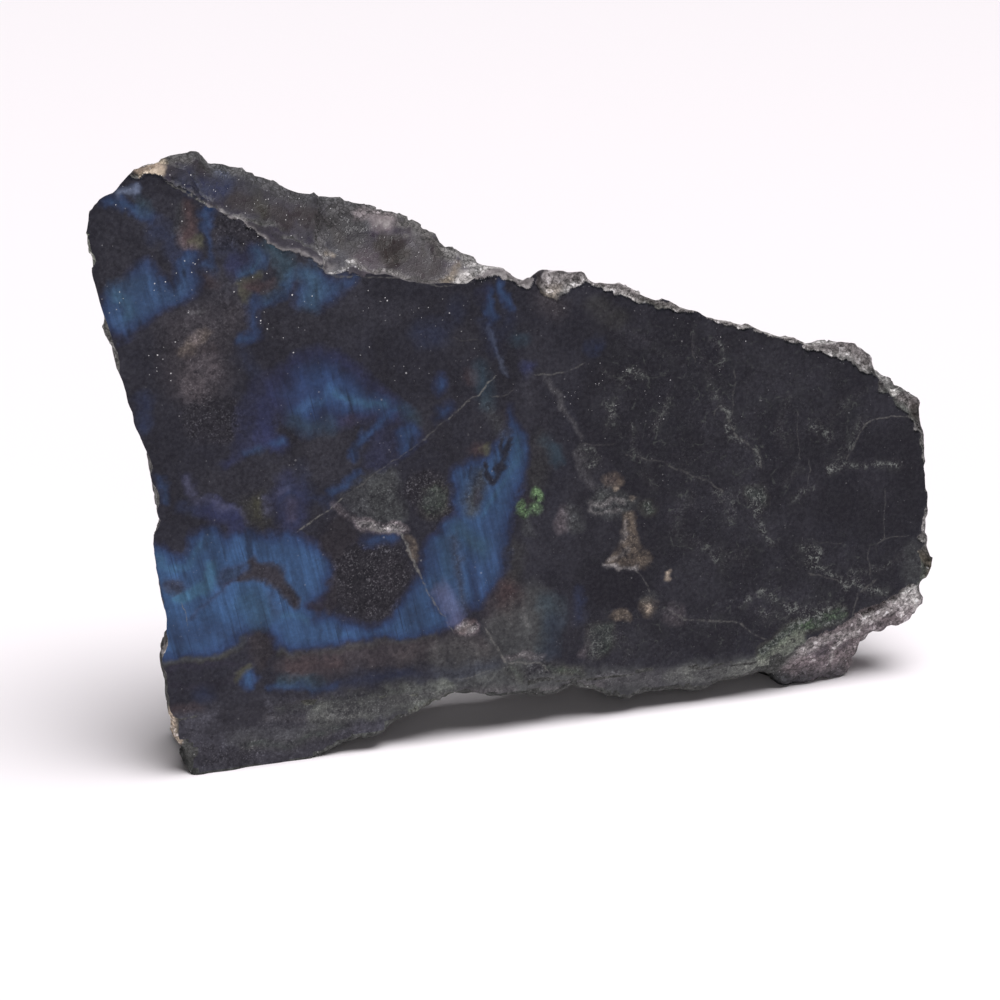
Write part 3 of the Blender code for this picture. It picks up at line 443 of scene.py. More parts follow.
    "smoky_tan": ("tan", 0.3, 0, ((-34.8, 45.4), (-33.6, 46.6), (-32.4, 47.6), (-31, 48), (-30.4, 47.2),
        (-31.6, 46.4), (-33, 45.5))),
    "smoky_rose": ("rose", 0.2, 0, ((-33.6, 45), (-31, 45.4), (-29.6, 44.8), (-29.4, 43.2), (-30.5, 42.4),
        (-31, 41.4), (-33, 41.2), (-34.2, 42), (-33.6, 43.4))),
    "smoky_shade": ("umber", 0.5, 0.3, ((-33.6, 45.2), (-32.4, 45.7), (-31, 45.9), (-29.8, 45.4))),
    "smoky_streak": ("ash", 0.6, 0.16, ((-32.5, 49.8), (-31.8, 49.6), (-31.2, 49.8))),
    "smoky_pink": ("rose", 0.4, 0, oval(-32.3, 47.0, 0.4, 0.5)),

    # the inclusions right of the flame
    "leaf_left": ("leaf", 0.95, 0, ((1.9, 26.2), (2.7, 26.6), (3.1, 25.8), (3.5, 25.2), (3.2, 24.7),
        (2.6, 24.8), (2.1, 25.4))),
    "leaf_top": ("leaf", 0.95, 0, ((3.7, 27.6), (4.4, 27.8), (4.9, 27.2), (4.8, 26.5), (4, 26.4),
        (3.6, 26.9))),
    "leaf_low": ("leaf", 0.85, 0, ((3.7, 26.1), (4.6, 26.1), (4.9, 25.4), (4.5, 24.8), (3.9, 24.8),
        (3.5, 25.4))),
    "leaf_stem": ("sage", 0.7, 0.14, ((3.2, 24.4), (3.3, 23.6), (3.4, 22.9))),
    "leaf_eye": ("umber", 0.8, 0, oval(3.5, 26.3, 0.4, 0.5)),
    "grey_streak": ("ash", 0.5, 0.28, ((5.3, 39.8), (5.9, 38.6), (6.6, 37.4), (7, 36.2))),
    "grey_streak_low": ("ash", 0.45, 0.14, ((7, 36.2), (7.9, 35), (8.6, 33.8), (9.1, 32.6))),
    "grey_lobe": ("ash", 0.5, 0, ((8.4, 31.2), (9.1, 31.7), (9.8, 30.6), (9.8, 29), (10.6, 27.8),
        (10.4, 27.1), (9.4, 27.5), (8.8, 28.8), (8.4, 30))),
    "rose_grains": ("rose", 0.55, 0, ((6.1, 24), (6.9, 24.9), (7.6, 25.2), (8, 24.2), (7.6, 22.8),
        (6.6, 22.6), (6.1, 23.2))),
    "sage_grains": ("sage", 0.8, 0, ((7.8, 25.4), (8.6, 24.8), (9.4, 23.6), (9.2, 22.6), (8.2, 22.2),
        (7.8, 23.2))),
    "tan_knot": ("tan", 0.8, 0, ((11.6, 28.4), (12.9, 28.7), (13.8, 28), (13.6, 27), (12.4, 26.6),
        (11.6, 27.2))),
    "tan_knot_rust": ("rust", 0.5, 0, oval(12.7, 27.9, 0.8, 0.6)),
    "knot_spark": ("cream", 0.9, 0, oval(12.7, 26.4, 0.3, 0.22)),
    "shelf_spark": ("cream", 0.7, 0, oval(14.9, 25.5, 0.35, 0.25)),
    "green_knot": ("sage", 0.85, 0, ((10.1, 26.4), (11.2, 27.1), (12.2, 26.6), (11.8, 25.6), (10.4, 25.3))),
    "pale_shelf": ("sage", 0.75, 0, ((10, 25.6), (12.2, 25.9), (14.4, 25.7), (15.6, 25.4), (15.8, 24.6),
        (14.6, 23.9), (12.4, 23.9), (10.3, 24.1))),
    "pale_shelf_white": ("chalk", 0.6, 0.09, ((9.9, 25.5), (11.4, 25.2), (13, 25.2), (14.2, 25))),
    "pale_shelf_lip": ("chalk", 0.5, 0.08, ((10, 25.2), (10.1, 24.4), (11.2, 24.2), (12.6, 24.4),
        (14, 24.2))),
    "tan_stem": ("tan", 0.6, 0, ((14.3, 24), (15.4, 24), (15.7, 22.4), (15.6, 21), (16, 19.6),
        (14.4, 19.4), (14.3, 20.8), (14.4, 22))),
    "stem_white": ("chalk", 0.4, 0.14, ((14.6, 23), (14.7, 21.8), (14.2, 20.6))),
    "tan_foot": ("tan", 0.7, 0, ((12.3, 18.3), (13.2, 19.4), (14, 20.6), (14.8, 20.6), (15.6, 19.7),
        (17, 19.3), (17.8, 18.4), (17.2, 17.4), (16, 17.5), (14.3, 17.7), (13, 18))),
    "foot_white": ("chalk", 0.9, 0.09, ((12, 18.1), (13.2, 17.9), (14.4, 17.6), (15.4, 17.4))),
    "foot_chalk": ("chalk", 0.4, 0.25, ((12.8, 18.7), (13.8, 18.9), (14.6, 19.6))),
    "black_block": ("ink", 0.9, 0, ((10, 17), (12, 17.5), (14.6, 17.2), (15.4, 16.8), (16.2, 15.6),
        (16.8, 14.4), (16, 13.4), (15.2, 12.8), (13.6, 13), (12, 13.4), (10.8, 14.6), (10.2, 15.8))),
    "white_chip": ("cream", 0.7, 0, oval(19.3, 16.2, 0.22, 0.5, 12)),
    "low_tan": ("tan", 0.6, 0, ((12.5, 12.4), (13.8, 12.8), (15.2, 12.2), (15.2, 11.8), (14, 11.5),
        (12.9, 11.7))),
    "low_cream": ("tan", 0.65, 0, ((16.1, 13.6), (17.2, 14), (18, 13.2), (17.9, 12), (17.2, 11.8),
        (16.4, 12.3))),
    "low_cream_white": ("cream", 0.8, 0, oval(17.3, 12.4, 0.4, 0.35)),
    "low_cream_green": ("sage", 0.7, 0, oval(17.2, 13.7, 0.7, 0.4)),
    "low_bronze": ("rose", 0.3, 0, ((18.6, 12.2), (20, 12.4), (21.4, 11.8), (21.6, 10.8), (20.4, 10.4),
        (19, 11))),
    "low_rose": ("rose", 0.6, 0.22, ((10.3, 10.4), (10.2, 9.2), (9.8, 8.2))),
    "green_web": ("leafwork", 0.8, 0, ((27.4, 25.1), (28.6, 25.6), (30, 25.3), (30.7, 24.1), (30.4, 22.6),
        (29.4, 22.6), (28.6, 23.4))),
    "sage_web": ("leafwork", 0.6, 0, ((9.8, 11.4), (12.4, 11.6), (13.4, 10.4), (13, 8.2), (11, 7),
        (9.8, 8.6))),
    "lower_right_leaf": ("leafwork", 0.95, 1.0, ((31.1, 5.4), (32.7, 6.6), (34.8, 7.7), (37.2, 8.5),
        (40, 9))),
    "lower_right_haze": ("lichen", 0.5, 1.0, ((31, 4.1), (32.2, 4.7), (33.6, 5.5), (35.4, 6.5))),
    "lower_right_moss": ("leaf", 0.4, 0.4, ((36, 8), (37.6, 8.6), (39.2, 9.1), (40.6, 9))),
    "leaf_right": ("leafwork", 0.9, 0, ((15.9, 25), (17.6, 24.7), (18, 23.4), (16.6, 23))),
    "pool_shore": ("sugar", 0.5, 0.28, ((0.6, 8.9), (2, 8.9), (3.6, 8.9), (5.2, 8.4))),
    "block_haze": ("frosted", 0.45, 0, ((-7.9, 12.1), (-3.4, 11.3), (-0.2, 9.5), (0.2, 7.9), (-3.4, 7.9),
        (-7.9, 7.8))),
    "band_east": ("ash", 0.45, 0.8, ((11.1, 4.8), (16.3, 4.4), (22.2, 4), (28.8, 3.7))),
    "band_far": ("lichen", 0.32, 0.8, ((20, 4.4), (25.8, 3.7), (28.8, 3.6), (31.8, 4))),
    "band_green": ("leafwork", 0.6, 0.4, ((1.4, 7.4), (2.5, 6.5))),
    "band_moss": ("leaf", 0.25, 0.3, ((6, 6.8), (7.2, 6.9))),
    "band_green_east": ("leafwork", 0.6, 0.35, ((7.8, 6.4), (10.1, 5.6))),
    "band_dark": ("soot", 0.7, 0.5, ((3.4, 7.1), (4.6, 7.4), (5.7, 6.6))),
    "arch_edge": ("rose", 0.4, 0.15, ((-6.8, 5.4), (-3.4, 5.6), (0, 5.3), (4.6, 4.3), (8.6, 4.3),
        (11.6, 4.5))),
    "lump_haze": ("smoke", 0.6, 0.8, ((4.9, 48.2), (6.2, 47.1))),
    "upper_veil": ("slate", 0.22, 0, ((-42.8, 60), (-36, 63.4), (-29, 59), (-20, 55.5), (-13.6, 53),
        (-14.5, 49.5), (-22, 46.5), (-30, 47.6), (-36.5, 46.5), (-40.4, 47))),
    "bottom_leaf": ("leafwork", 0.7, 0.4, ((5.8, 7), (7.4, 6.8), (9.2, 6.2))),
}

# Knots and trails of pale crystal grains in the dark right half, as cover, half width and points.
FROSTWORK = (
    (0.5, 0.25, ((13.8, 44.2), (15, 43.2), (16.6, 42), (18.2, 41.4), (19.3, 40.7), (20.3, 39.5))),
    (0.7, 0.35, ((11.2, 39.7), (12.5, 38.9), (13.7, 38.3))),
    (0.9, 0.40, ((14.1, 39.2), (15, 38.7), (15.9, 38.8))),
    (0.9, 0.22, ((12.1, 36.3), (12.7, 35.4), (12.8, 34.5), (13.3, 33.3))),
    (0.8, 0.22, ((12.9, 36.5), (12.7, 35.2), (12.3, 33.4))),
    (0.7, 0.30, ((15.1, 33.4), (15.4, 32.2), (14.9, 31.2), (15.8, 29.8))),
    (0.9, 0.35, ((19, 35.6), (18.5, 34.8), (18.1, 33.9), (17.6, 32.9))),
    (0.8, 0.30, ((24.2, 42), (25.1, 40.8), (25.4, 39.6), (24.5, 39.1))),
    (0.6, 0.30, ((21.6, 43.2), (21.7, 41.6), (22.4, 40), (23.4, 38), (24, 37.1))),
    (0.9, 0.35, ((24.1, 36.5), (25.3, 35), (26.2, 33.8), (26.5, 31.8))),
    (0.8, 0.40, ((26.5, 32), (27.7, 30.5), (29.2, 28.8), (29.8, 27.6))),
    (0.5, 0.22, ((15.9, 29.7), (17.7, 29.1), (19.6, 28.4), (21.7, 27.1), (23.4, 26), (24.8, 25.2))),
    (0.9, 0.45, ((9.4, 31.1), (10.6, 31), (11, 29.8), (10, 29.2))),
    (0.6, 0.35, ((16.3, 28.1), (16.8, 27.2), (17.3, 26.2))),
    (0.8, 0.60, ((36, 31), (37, 30.2), (38.2, 30.4), (38.4, 29.4))),
    (0.8, 0.32, ((41.8, 30.9), (41.1, 29.8), (40.9, 28.5), (40.2, 27.4), (39, 27), (38, 26.4))),
    (1.0, 0.35, ((38.1, 26.2), (39.3, 26.1), (40.5, 26.4), (43, 25.8))),
    (1.0, 0.42, ((44.2, 26.3), (45.4, 25.9), (46.9, 25.5))),
    (0.7, 0.35, ((32.9, 24.7), (33.6, 25.8), (34.5, 26.4))),
    (0.8, 0.45, ((33.9, 22.8), (35.1, 23.6), (36.5, 23.9))),
    (0.9, 0.40, ((29.1, 22.9), (29.9, 21.7), (30.8, 20), (31.8, 18.4))),
    (0.9, 0.65, ((35.4, 17.4), (36.8, 17.4), (37.2, 16), (36, 15.8))),
    (0.9, 0.45, ((36.4, 15.2), (38, 14.4), (39.6, 13.2), (41.1, 12))),
    (0.9, 0.50, ((41.5, 13.3), (42.8, 12.2), (44.1, 11.4), (45.6, 10.9))),
    (0.7, 0.35, ((41.6, 14.2), (43.5, 13.8), (45.2, 13.6), (47.6, 15))),
    (0.9, 0.45, ((28.5, 11.4), (29.2, 12.5), (30.6, 13), (32.3, 11.6), (34.1, 10.7), (36, 9.5), (38, 9))),
    (0.6, 0.70, ((30.6, 10.4), (33.2, 9.2), (36, 10.6), (39, 10.4))),
    (0.7, 0.40, ((10.1, 9.8), (11, 8.5), (10.4, 7.5))),
    (0.6, 0.40, ((13.6, 9.4), (14.8, 8), (14.1, 6.9))),
    (0.6, 0.50, ((25.4, 17.2), (26.2, 16.3), (26, 15.4))),
    (0.6, 0.80, ((25.2, 24.6), (26.6, 24), (26.6, 22))),
    (0.4, 0.40, ((18.6, 12.2), (21, 11.2), (23.6, 10.6), (26, 10.2))),
    (0.5, 0.80, ((21.6, 24.4), (19.4, 21.4), (22.8, 18.6), (28.2, 17))),
    (0.5, 0.70, ((33, 34.4), (32, 31.6), (33.4, 29.2))),
    (0.5, 0.60, ((41.6, 34.4), (39.6, 33), (38.2, 32))),
)
MARKS.update({f"frostwork_{number}": ("frostwork", *mark) for number, mark in enumerate(FROSTWORK)})

# Thin veins, as (brightness, half width) and the points that each follows.
VEINS = (
    (0.8, 0.10, ((-34.6, 63.2), (-33.8, 62.7), (-33, 62.2))),
    (1.0, 0.16, ((-32.5, 61.9), (-31.6, 61.5), (-30.6, 60.9), (-29.8, 60.7))),
    (1.0, 0.26, ((-29.8, 60.7), (-28.8, 60.2), (-27.6, 59.5), (-26.8, 58.9), (-25.8, 58.2), (-25.2, 57.5))),
    (0.55, 0.08, ((-19.4, 53.6), (-18.4, 52.9), (-17.4, 52.4), (-16, 52.2), (-14.8, 52.2), (-13, 52),
        (-11, 51.6), (-9.6, 51.2), (-8, 50.8), (-6.4, 50.5), (-5, 50.4), (-3.4, 50.6))),
    (0.8, 0.09, ((-22, 25.8), (-21.2, 26.3), (-20.2, 26.9), (-18.9, 27.6), (-18.2, 28.2), (-17.4, 28.8))),
    (0.5, 0.07, ((-16.4, 29.6), (-15, 30.4), (-13.6, 31.3), (-12, 32.2), (-10.6, 33), (-9.4, 33.8),
        (-8, 34.7), (-6.8, 35.4), (-5.7, 36.1))),
    (0.8, 0.09, ((-5.7, 36.1), (-5, 36.6), (-4.2, 37.3), (-3.6, 37.9), (-2.6, 38.4), (-1.8, 39),
        (-1.2, 39.9), (-0.6, 40.2))),
    (0.5, 0.08, ((-0.9, 38.2), (0.2, 38.1), (0.9, 38.5), (1.4, 38.7))),
    (0.6, 0.08, ((4, 40.1), (5.4, 40), (7, 40.1), (8.3, 40.5), (9.2, 40.8))),
    (0.9, 0.13, ((-14.3, 25), (-13, 24.8), (-12, 24.6), (-11, 24.4), (-10.8, 23.4), (-10.2, 22.4),
        (-9.6, 21.2), (-9.3, 20))),
    (1.0, 0.05, ((-34.6, 19.6), (-34.2, 18.4), (-33.9, 17.2))),
    (0.7, 0.08, ((-9.3, 20), (-8.8, 18.9), (-8, 17.5), (-7.2, 16.1), (-6.5, 14.9), (-5.9, 13.7),
        (-5.4, 12.8))),
    (0.8, 0.12, ((-1.6, 12.4), (-1, 11.5), (-0.4, 10.7), (0.1, 9.8), (0.4, 8.8), (0.8, 8.2), (2, 8.2),
        (3.4, 8), (4.6, 8), (5.4, 7.3), (5.6, 6.8))),
    (0.5, 0.10, ((-1.1, 7.7), (-3, 7.3), (-5, 7.5))),
    (0.5, 0.09, ((15.6, 17), (16.3, 16.2), (16.9, 15.3), (17.3, 14.3))),
    (0.45, 0.10, ((14.2, 30.4), (15.2, 30), (16.4, 29.6), (17.8, 29.2), (19.2, 28.6), (20.6, 27.7),
        (22, 27), (23.4, 26.5), (24.6, 25.8), (25.5, 25))),
    (0.55, 0.11, ((19.6, 12), (21, 11.2), (22.2, 10.7), (23.6, 10.4), (25, 9.9), (26.8, 9.8), (28.2, 9.2),
        (29.6, 8.2), (31, 7.4))),
    (0.45, 0.09, ((36.2, 14.2), (37.6, 13.7), (39, 13.1), (40.4, 12.6), (41.4, 12.1))),
    (0.4, 0.07, ((37.2, 17.9), (38.6, 17.6), (40.2, 17.3))),
    (0.5, 0.11, ((41.8, 8.8), (42.1, 10.2), (42.5, 11.3), (43.6, 12), (44.6, 12.5))),
    (0.45, 0.09, ((43.7, 16.4), (43.5, 15.4), (43.9, 14.2), (43.9, 12.8))),
    (0.45, 0.08, ((44.6, 16.8), (45.3, 17.3), (46.6, 17.5), (48.2, 17.3))),
    (0.45, 0.08, ((45.3, 22.8), (45.4, 21), (45.2, 19.2), (45.4, 17.4))),
    (0.7, 0.09, ((42.3, 30.5), (43.2, 31), (44.4, 31.1), (45.6, 31.3), (47, 31.2), (48.4, 31))),
    (0.5, 0.12, ((42.2, 30.4), (41.5, 29.2), (41.2, 28.4), (40.4, 27))),
    (0.45, 0.07, ((34.4, 32.8), (34.4, 31.2), (34.6, 29.4), (34.7, 27.6))),
    (0.5, 0.07, ((35.8, 27.2), (35.7, 25.8), (35.6, 24.4))),
    (0.45, 0.08, ((26.7, 38.4), (26.8, 36.6), (26.7, 35), (26.5, 33.6))),
    (0.35, 0.06, ((21.6, 43.2), (21.6, 41.6), (21.8, 40), (22, 39))),
    (0.5, 0.10, ((24.5, 33.7), (25.2, 34.8), (26, 33.8), (26.5, 32.4), (27, 31.2), (28, 30.2), (29, 29.3),
        (29.8, 28.2), (30, 27.2))),
    (0.35, 0.08, ((9.2, 31.9), (11, 31.6), (12.6, 31.7))),
    (0.3, 0.08, ((-5.2, 45), (-4.4, 44.4), (-3.2, 44.3), (-2.2, 44.2))),
)

# Marks on the broken rims and chips, laid out as the face's marks are, over the skin's own ground.
RIM_MARKS = {
    "rim_sugar_a": ("chalk", 0.7, 0.5, ((-8.4, 59.8), (-6, 58.4), (-4.4, 57), (-3, 55.6), (-1.4, 54.2),
        (0.6, 53.6))),
    "left_chip_ground": ("slate", 0.45, 0, ((-36, 66.5), (-28, 66), (-18, 62.5), (-13, 60.8), (-15, 55),
        (-19, 53.8), (-26, 58), (-34, 62.6))),
    "chip_shoulder": ("slate", 0.9, 0, ((-20.3, 60.4), (-16.5, 59.7), (-13.4, 58.5), (-14.3, 55.9),
        (-17.9, 56.5), (-20.3, 58.8))),
    "chip_top": ("slate", 0.75, 1.0, ((-29.7, 64.6), (-25, 62.5), (-20.6, 60.8), (-16.5, 59.6),
        (-12.3, 58))),
    "chip_brown": ("umber", 0.6, 0.7, ((-28.1, 61.4), (-25, 59.9), (-22.4, 58.3))),
    "chip_brown_low": ("umber", 0.6, 0.8, ((-21.1, 59.2), (-19.3, 57.7), (-17.5, 56.1))),
    "chip_step": ("slate", 0.7, 0.9, ((-19, 57), (-18.4, 55.2), (-17.2, 53.8))),
    "chip_haze": ("smoke", 0.25, 0, ((-26, 62.6), (-20, 61.4), (-17.4, 58.4), (-20, 56.4), (-24.6, 58.4))),
    "chip_shade": ("umber", 0.4, 0, ((-19.6, 60.6), (-15.4, 60.2), (-14.6, 57.4), (-11.6, 54.6),
        (-7.2, 54.6), (-7, 51.6), (-13, 53), (-18, 55.6))),
    "chip_dark": ("umber", 0.4, 0, ((-35, 65.6), (-31, 65.2), (-30, 63.2), (-32.4, 62.6), (-34.6, 63.6))),
    "chip_glow": ("deep", 0.4, 0.7, ((-33.2, 63.4), (-31.8, 63), (-30.6, 62.6))),
    "chip_glow_right": ("deep", 0.5, 0.3, ((-29.4, 64.2), (-28.8, 63.4), (-29.2, 62.2))),
    "chip_seam": ("moss", 0.6, 0.25, ((-25.9, 61.6), (-25.5, 60), (-25.2, 58.6))),
    "chip_blush": ("rose", 0.7, 0, oval(-12.3, 57.5, 1.2, 1.0, -20)),
    "chip_blush_core": ("chalk", 0.6, 0, oval(-12.2, 57.6, 0.6, 0.5)),
    "chip_well": ("umber", 0.85, 0, ((-13.8, 55.9), (-12, 56.4), (-10.4, 55.6), (-9.6, 54.2), (-10, 53.2),
        (-11.4, 52.9), (-12.8, 53.2), (-13.4, 54.4))),
    "chip_ribs": ("smoke", 0.55, 0, ((-10.6, 58.4), (-8.6, 57.6), (-7.2, 55.6), (-6, 53.2), (-6.2, 51.4),
        (-8, 51), (-9.8, 51.8), (-9.4, 54), (-10.4, 56))),
    "rib_dark": ("umber", 0.5, 0.6, ((-7.4, 55.4), (-6.9, 53.6), (-7.2, 52.2))),
    "rib_light": ("ash", 0.6, 0.16, ((-9.6, 57.8), (-8.6, 56), (-8, 54.2), (-7.8, 52.4))),
    "rib_shade": ("umber", 0.7, 0.1, ((-8.6, 55.6), (-8.2, 54.2), (-7.8, 52.6))),
    "chip_beige": ("rose", 0.25, 0, ((-15.2, 54.8), (-14, 54.8), (-13.2, 53.6), (-12, 52.6),
        (-13.4, 52.4), (-15, 52.6))),
    "chip_foot": ("smoke", 0.7, 0.4, ((-12.6, 52.4), (-10.4, 52), (-8.6, 51.3), (-6.8, 50.9))),
    "chip_tan": ("tan", 0.8, 0.28, ((-4.8, 52.7), (-5.5, 51.7), (-6.2, 50.9))),
    "chip_wedge": ("chalk", 0.95, 0, ((-5.6, 50.6), (-4.6, 52.2), (-3.8, 52.4), (-2.8, 51.4),
        (-2.4, 50.8), (-3.6, 50.4))),
    "chip_dash_a": ("cream", 0.6, 0.12, ((-18.8, 55), (-18.2, 54.8))),
    "chip_line_a": ("ash", 0.8, 0.14, ((-35.6, 63.8), (-34.8, 63.2), (-33.8, 62.7), (-32.4, 61.9))),
    "chip_line_b": ("chalk", 0.55, 0.14, ((-32.4, 61.9), (-31.3, 61.3), (-30, 60.6), (-28.8, 59.9),
        (-27.6, 59.1), (-26.6, 58.3), (-25.6, 57.4))),
    "chip_line_c": ("chalk", 0.5, 0.12, ((-25.6, 57.4), (-24.7, 56.6), (-23.3, 55.9), (-21.2, 54.8),
        (-19.6, 54), (-18.1, 53.3))),
    "rim_rose": ("rose", 0.8, 0.5, ((-15, 59.4), (-13.4, 58.9), (-12, 58.4))),
    "rim_ash_left": ("ash", 0.6, 0.25, ((-30, 64.9), (-26, 64), (-22.6, 62.8), (-19.4, 61.8), (-16, 60.9))),
    "rim_chalk_right": ("chalk", 0.75, 0.5, ((9, 49.8), (12.4, 48.8), (15.6, 47.8), (19, 46.2),
        (24, 44.6), (30, 42.6), (35, 40.8))),
    "rim_frost": ("chalk", 0.75, 0.9, ((35.4, 40.2), (38, 40.4), (41, 39.6), (43.4, 37.8))),
    "rim_lump": ("chalk", 0.9, 0, oval(6.2, 50.2, 2.0, 1.6)),
    "rim_lump_tan": ("tan", 0.5, 0, oval(5.4, 49.0, 1.2, 0.8)),
    "rim_crack": ("umber", 0.9, 0.14, ((3.8, 50.9), (4.2, 50), (4.5, 49))),
    "rim_olive": ("moss", 0.5, 1.2, ((16, 46.4), (19, 45.4), (22, 44.4))),
    "rim_notch": ("chalk", 0.7, 0.8, ((-1.7, 51.7), (0, 51.5), (1.5, 50.7), (3.1, 49.8))),
    "rim_saddle": ("chalk", 0.7, 0.6, ((19.2, 46.1), (21.3, 45.4), (23.2, 44.6))),
    "peak_cream": ("cream", 0.95, 0, ((-37.6, 64.2), (-36.8, 65.2), (-35.6, 65.6), (-35, 64.8),
        (-35.2, 63.8), (-35.8, 63.4), (-36.6, 63.6))),
    "bevel_strip": ("lichen", 0.8, 0.4, ((-43, 60.4), (-42.9, 58.4), (-42.6, 56.4), (-42.3, 54.8),
        (-42, 53.4), (-41.8, 52))),
    "left_nub": ("chalk", 0.7, 0, oval(-38.6, 36.8, 0.35, 0.7)),
    "toe_cream": ("cream", 0.8, 0.6, ((-36.8, 7.6), (-36.2, 6), (-35.4, 4.4))),
    "toe_notch_white": ("chalk", 0.9, 0, oval(-36.8, 14.5, 0.6, 0.6)),
    "shoulder_sage": ("sage", 0.8, 0.9, ((45, 33.6), (46.8, 32.6), (48.2, 31.6))),
    "shoulder_rust": ("rust", 0.4, 0.5, ((48.4, 32.6), (49, 31.4))),
    "shoulder_chalk": ("chalk", 0.8, 0.3, ((45.6, 33.9), (46.8, 33.4), (47.8, 32.8))),
    "right_edge_sage": ("sage", 0.6, 0.4, ((49.2, 28), (49.6, 25.4), (50.4, 22.6), (50.6, 20.4))),
    "nub_sage": ("sage", 0.95, 0, ((47.4, 16.4), (48.8, 16.8), (50.4, 15.6), (51.8, 13.6), (52, 11.8),
        (50.2, 10.9), (48.4, 11.2), (47.3, 13))),
    "nub_tan": ("tan", 0.5, 0.45, ((50.4, 14.8), (51.3, 13.2), (51.1, 11.8))),
    "lump_rose": ("rose", 0.8, 0, ((43, 8.6), (46, 9.4), (48.4, 9), (50.2, 9.4), (50.4, 6.6), (47.6, 6),
        (44.4, 6.6))),
    "lump_chalk": ("chalk", 0.8, 0.5, ((43.4, 7.6), (45.6, 8.4), (48.4, 10.6), (49.4, 9.4))),
    "nub_white": ("white", 0.5, 0.45, ((49.3, 10.9), (49.4, 9.8), (49.6, 8.2))),
    "nub_white_left": ("white", 0.35, 0.3, ((48.4, 10.6), (48.2, 8.4))),
    "lump_swirl": ("plum", 0.4, 0.2, ((44.2, 6.8), (45.4, 7), (46.4, 6.8))),
    "crust_rose": ("rose", 0.95, 0, ((33.4, 3.6), (35.6, 4.4), (38.4, 6), (40.4, 7.2), (42.6, 7.4),
        (43.4, 5.6), (42.4, 4), (40.6, 2.6), (37.4, 2.4), (34.4, 2.4))),
    "crust_chalk": ("chalk", 0.75, 0.5, ((36, 5.2), (38.2, 5.8), (40.4, 6.6), (42.6, 6.6))),
    "crust_swirl_a": ("plum", 0.85, 0.28, ((37.2, 4.9), (38.4, 4.6), (39.2, 4.9), (38.8, 5.4))),
    "crust_swirl_b": ("plum", 0.8, 0.22, ((40.2, 5.6), (41, 5), (41.8, 5.2))),
    "crust_swirl_c": ("plum", 0.4, 0.25, ((35.6, 3.2), (37, 3), (38.6, 3.6))),
    # painted shade: the dark slate at the bottom of the right foot's crust, where it meets the floor, stands
    # for the shade that falls there
    "crust_foot_painted_shade": ("slate", 0.8, 0, ((32.6, 2.8), (35, 2.5), (38, 2.6), (41, 3.2), (41.8, 2),
        (41.4, -1), (36, -1), (33.4, 0.6))),
    "crust_stripe": ("chalk", 0.9, 0.16, ((39.4, 3.8), (40.4, 5.2), (41.5, 6.6))),
    "toe_edge_chalk": ("sage", 0.5, 0.3, ((-34, 0.6), (-28, -0.2), (-22, 0.6), (-16, 2), (-11, 3.6))),
}

# Marks on the left foot, over its bevel and its skin alike.
FOOT_MARKS = {
    "foot_dark": ("ink", 0.8, 0, ((-31.4, 7.2), (-29.1, 8.2), (-26.4, 7.4), (-26.2, 5.4), (-28.8, 4.6),
        (-31.2, 5.4))),
    "foot_dark_low": ("soot", 0.5, 0.9, ((-33, 2.4), (-30.2, 1.6), (-27.6, 1.2))),
    "foot_moss": ("leafwork", 0.6, 0.35, ((-24.6, 6.6), (-21.4, 6.9), (-19, 6.7), (-16.4, 6.9),
        (-14.4, 6.7))),
    "foot_moss_low": ("leafwork", 0.6, 0.5, ((-28.3, 2.9), (-25, 2.4), (-22.4, 2.8), (-17.4, 3.7))),
    "foot_pale": ("ash", 0.6, 0.35, ((-19, 5), (-16.6, 4.9), (-14.6, 5.3), (-10.4, 5.9), (-7.9, 5.9))),
    "foot_streak": ("ash", 0.6, 0.25, ((-26.4, 5.4), (-24, 5.6), (-21.2, 5.3), (-16.8, 5.9))),
    "foot_streak_low": ("frosted", 0.6, 0.25, ((-29.6, 3.8), (-26.4, 4), (-23.4, 3.7), (-20, 4.2))),
    "foot_sage": ("lichen", 0.25, 1.2, ((-20, 5.4), (-15, 5.4), (-10, 5.8), (-6, 6.2))),
}
MARKS.update(FOOT_MARKS)
RIM_MARKS.update(FOOT_MARKS)

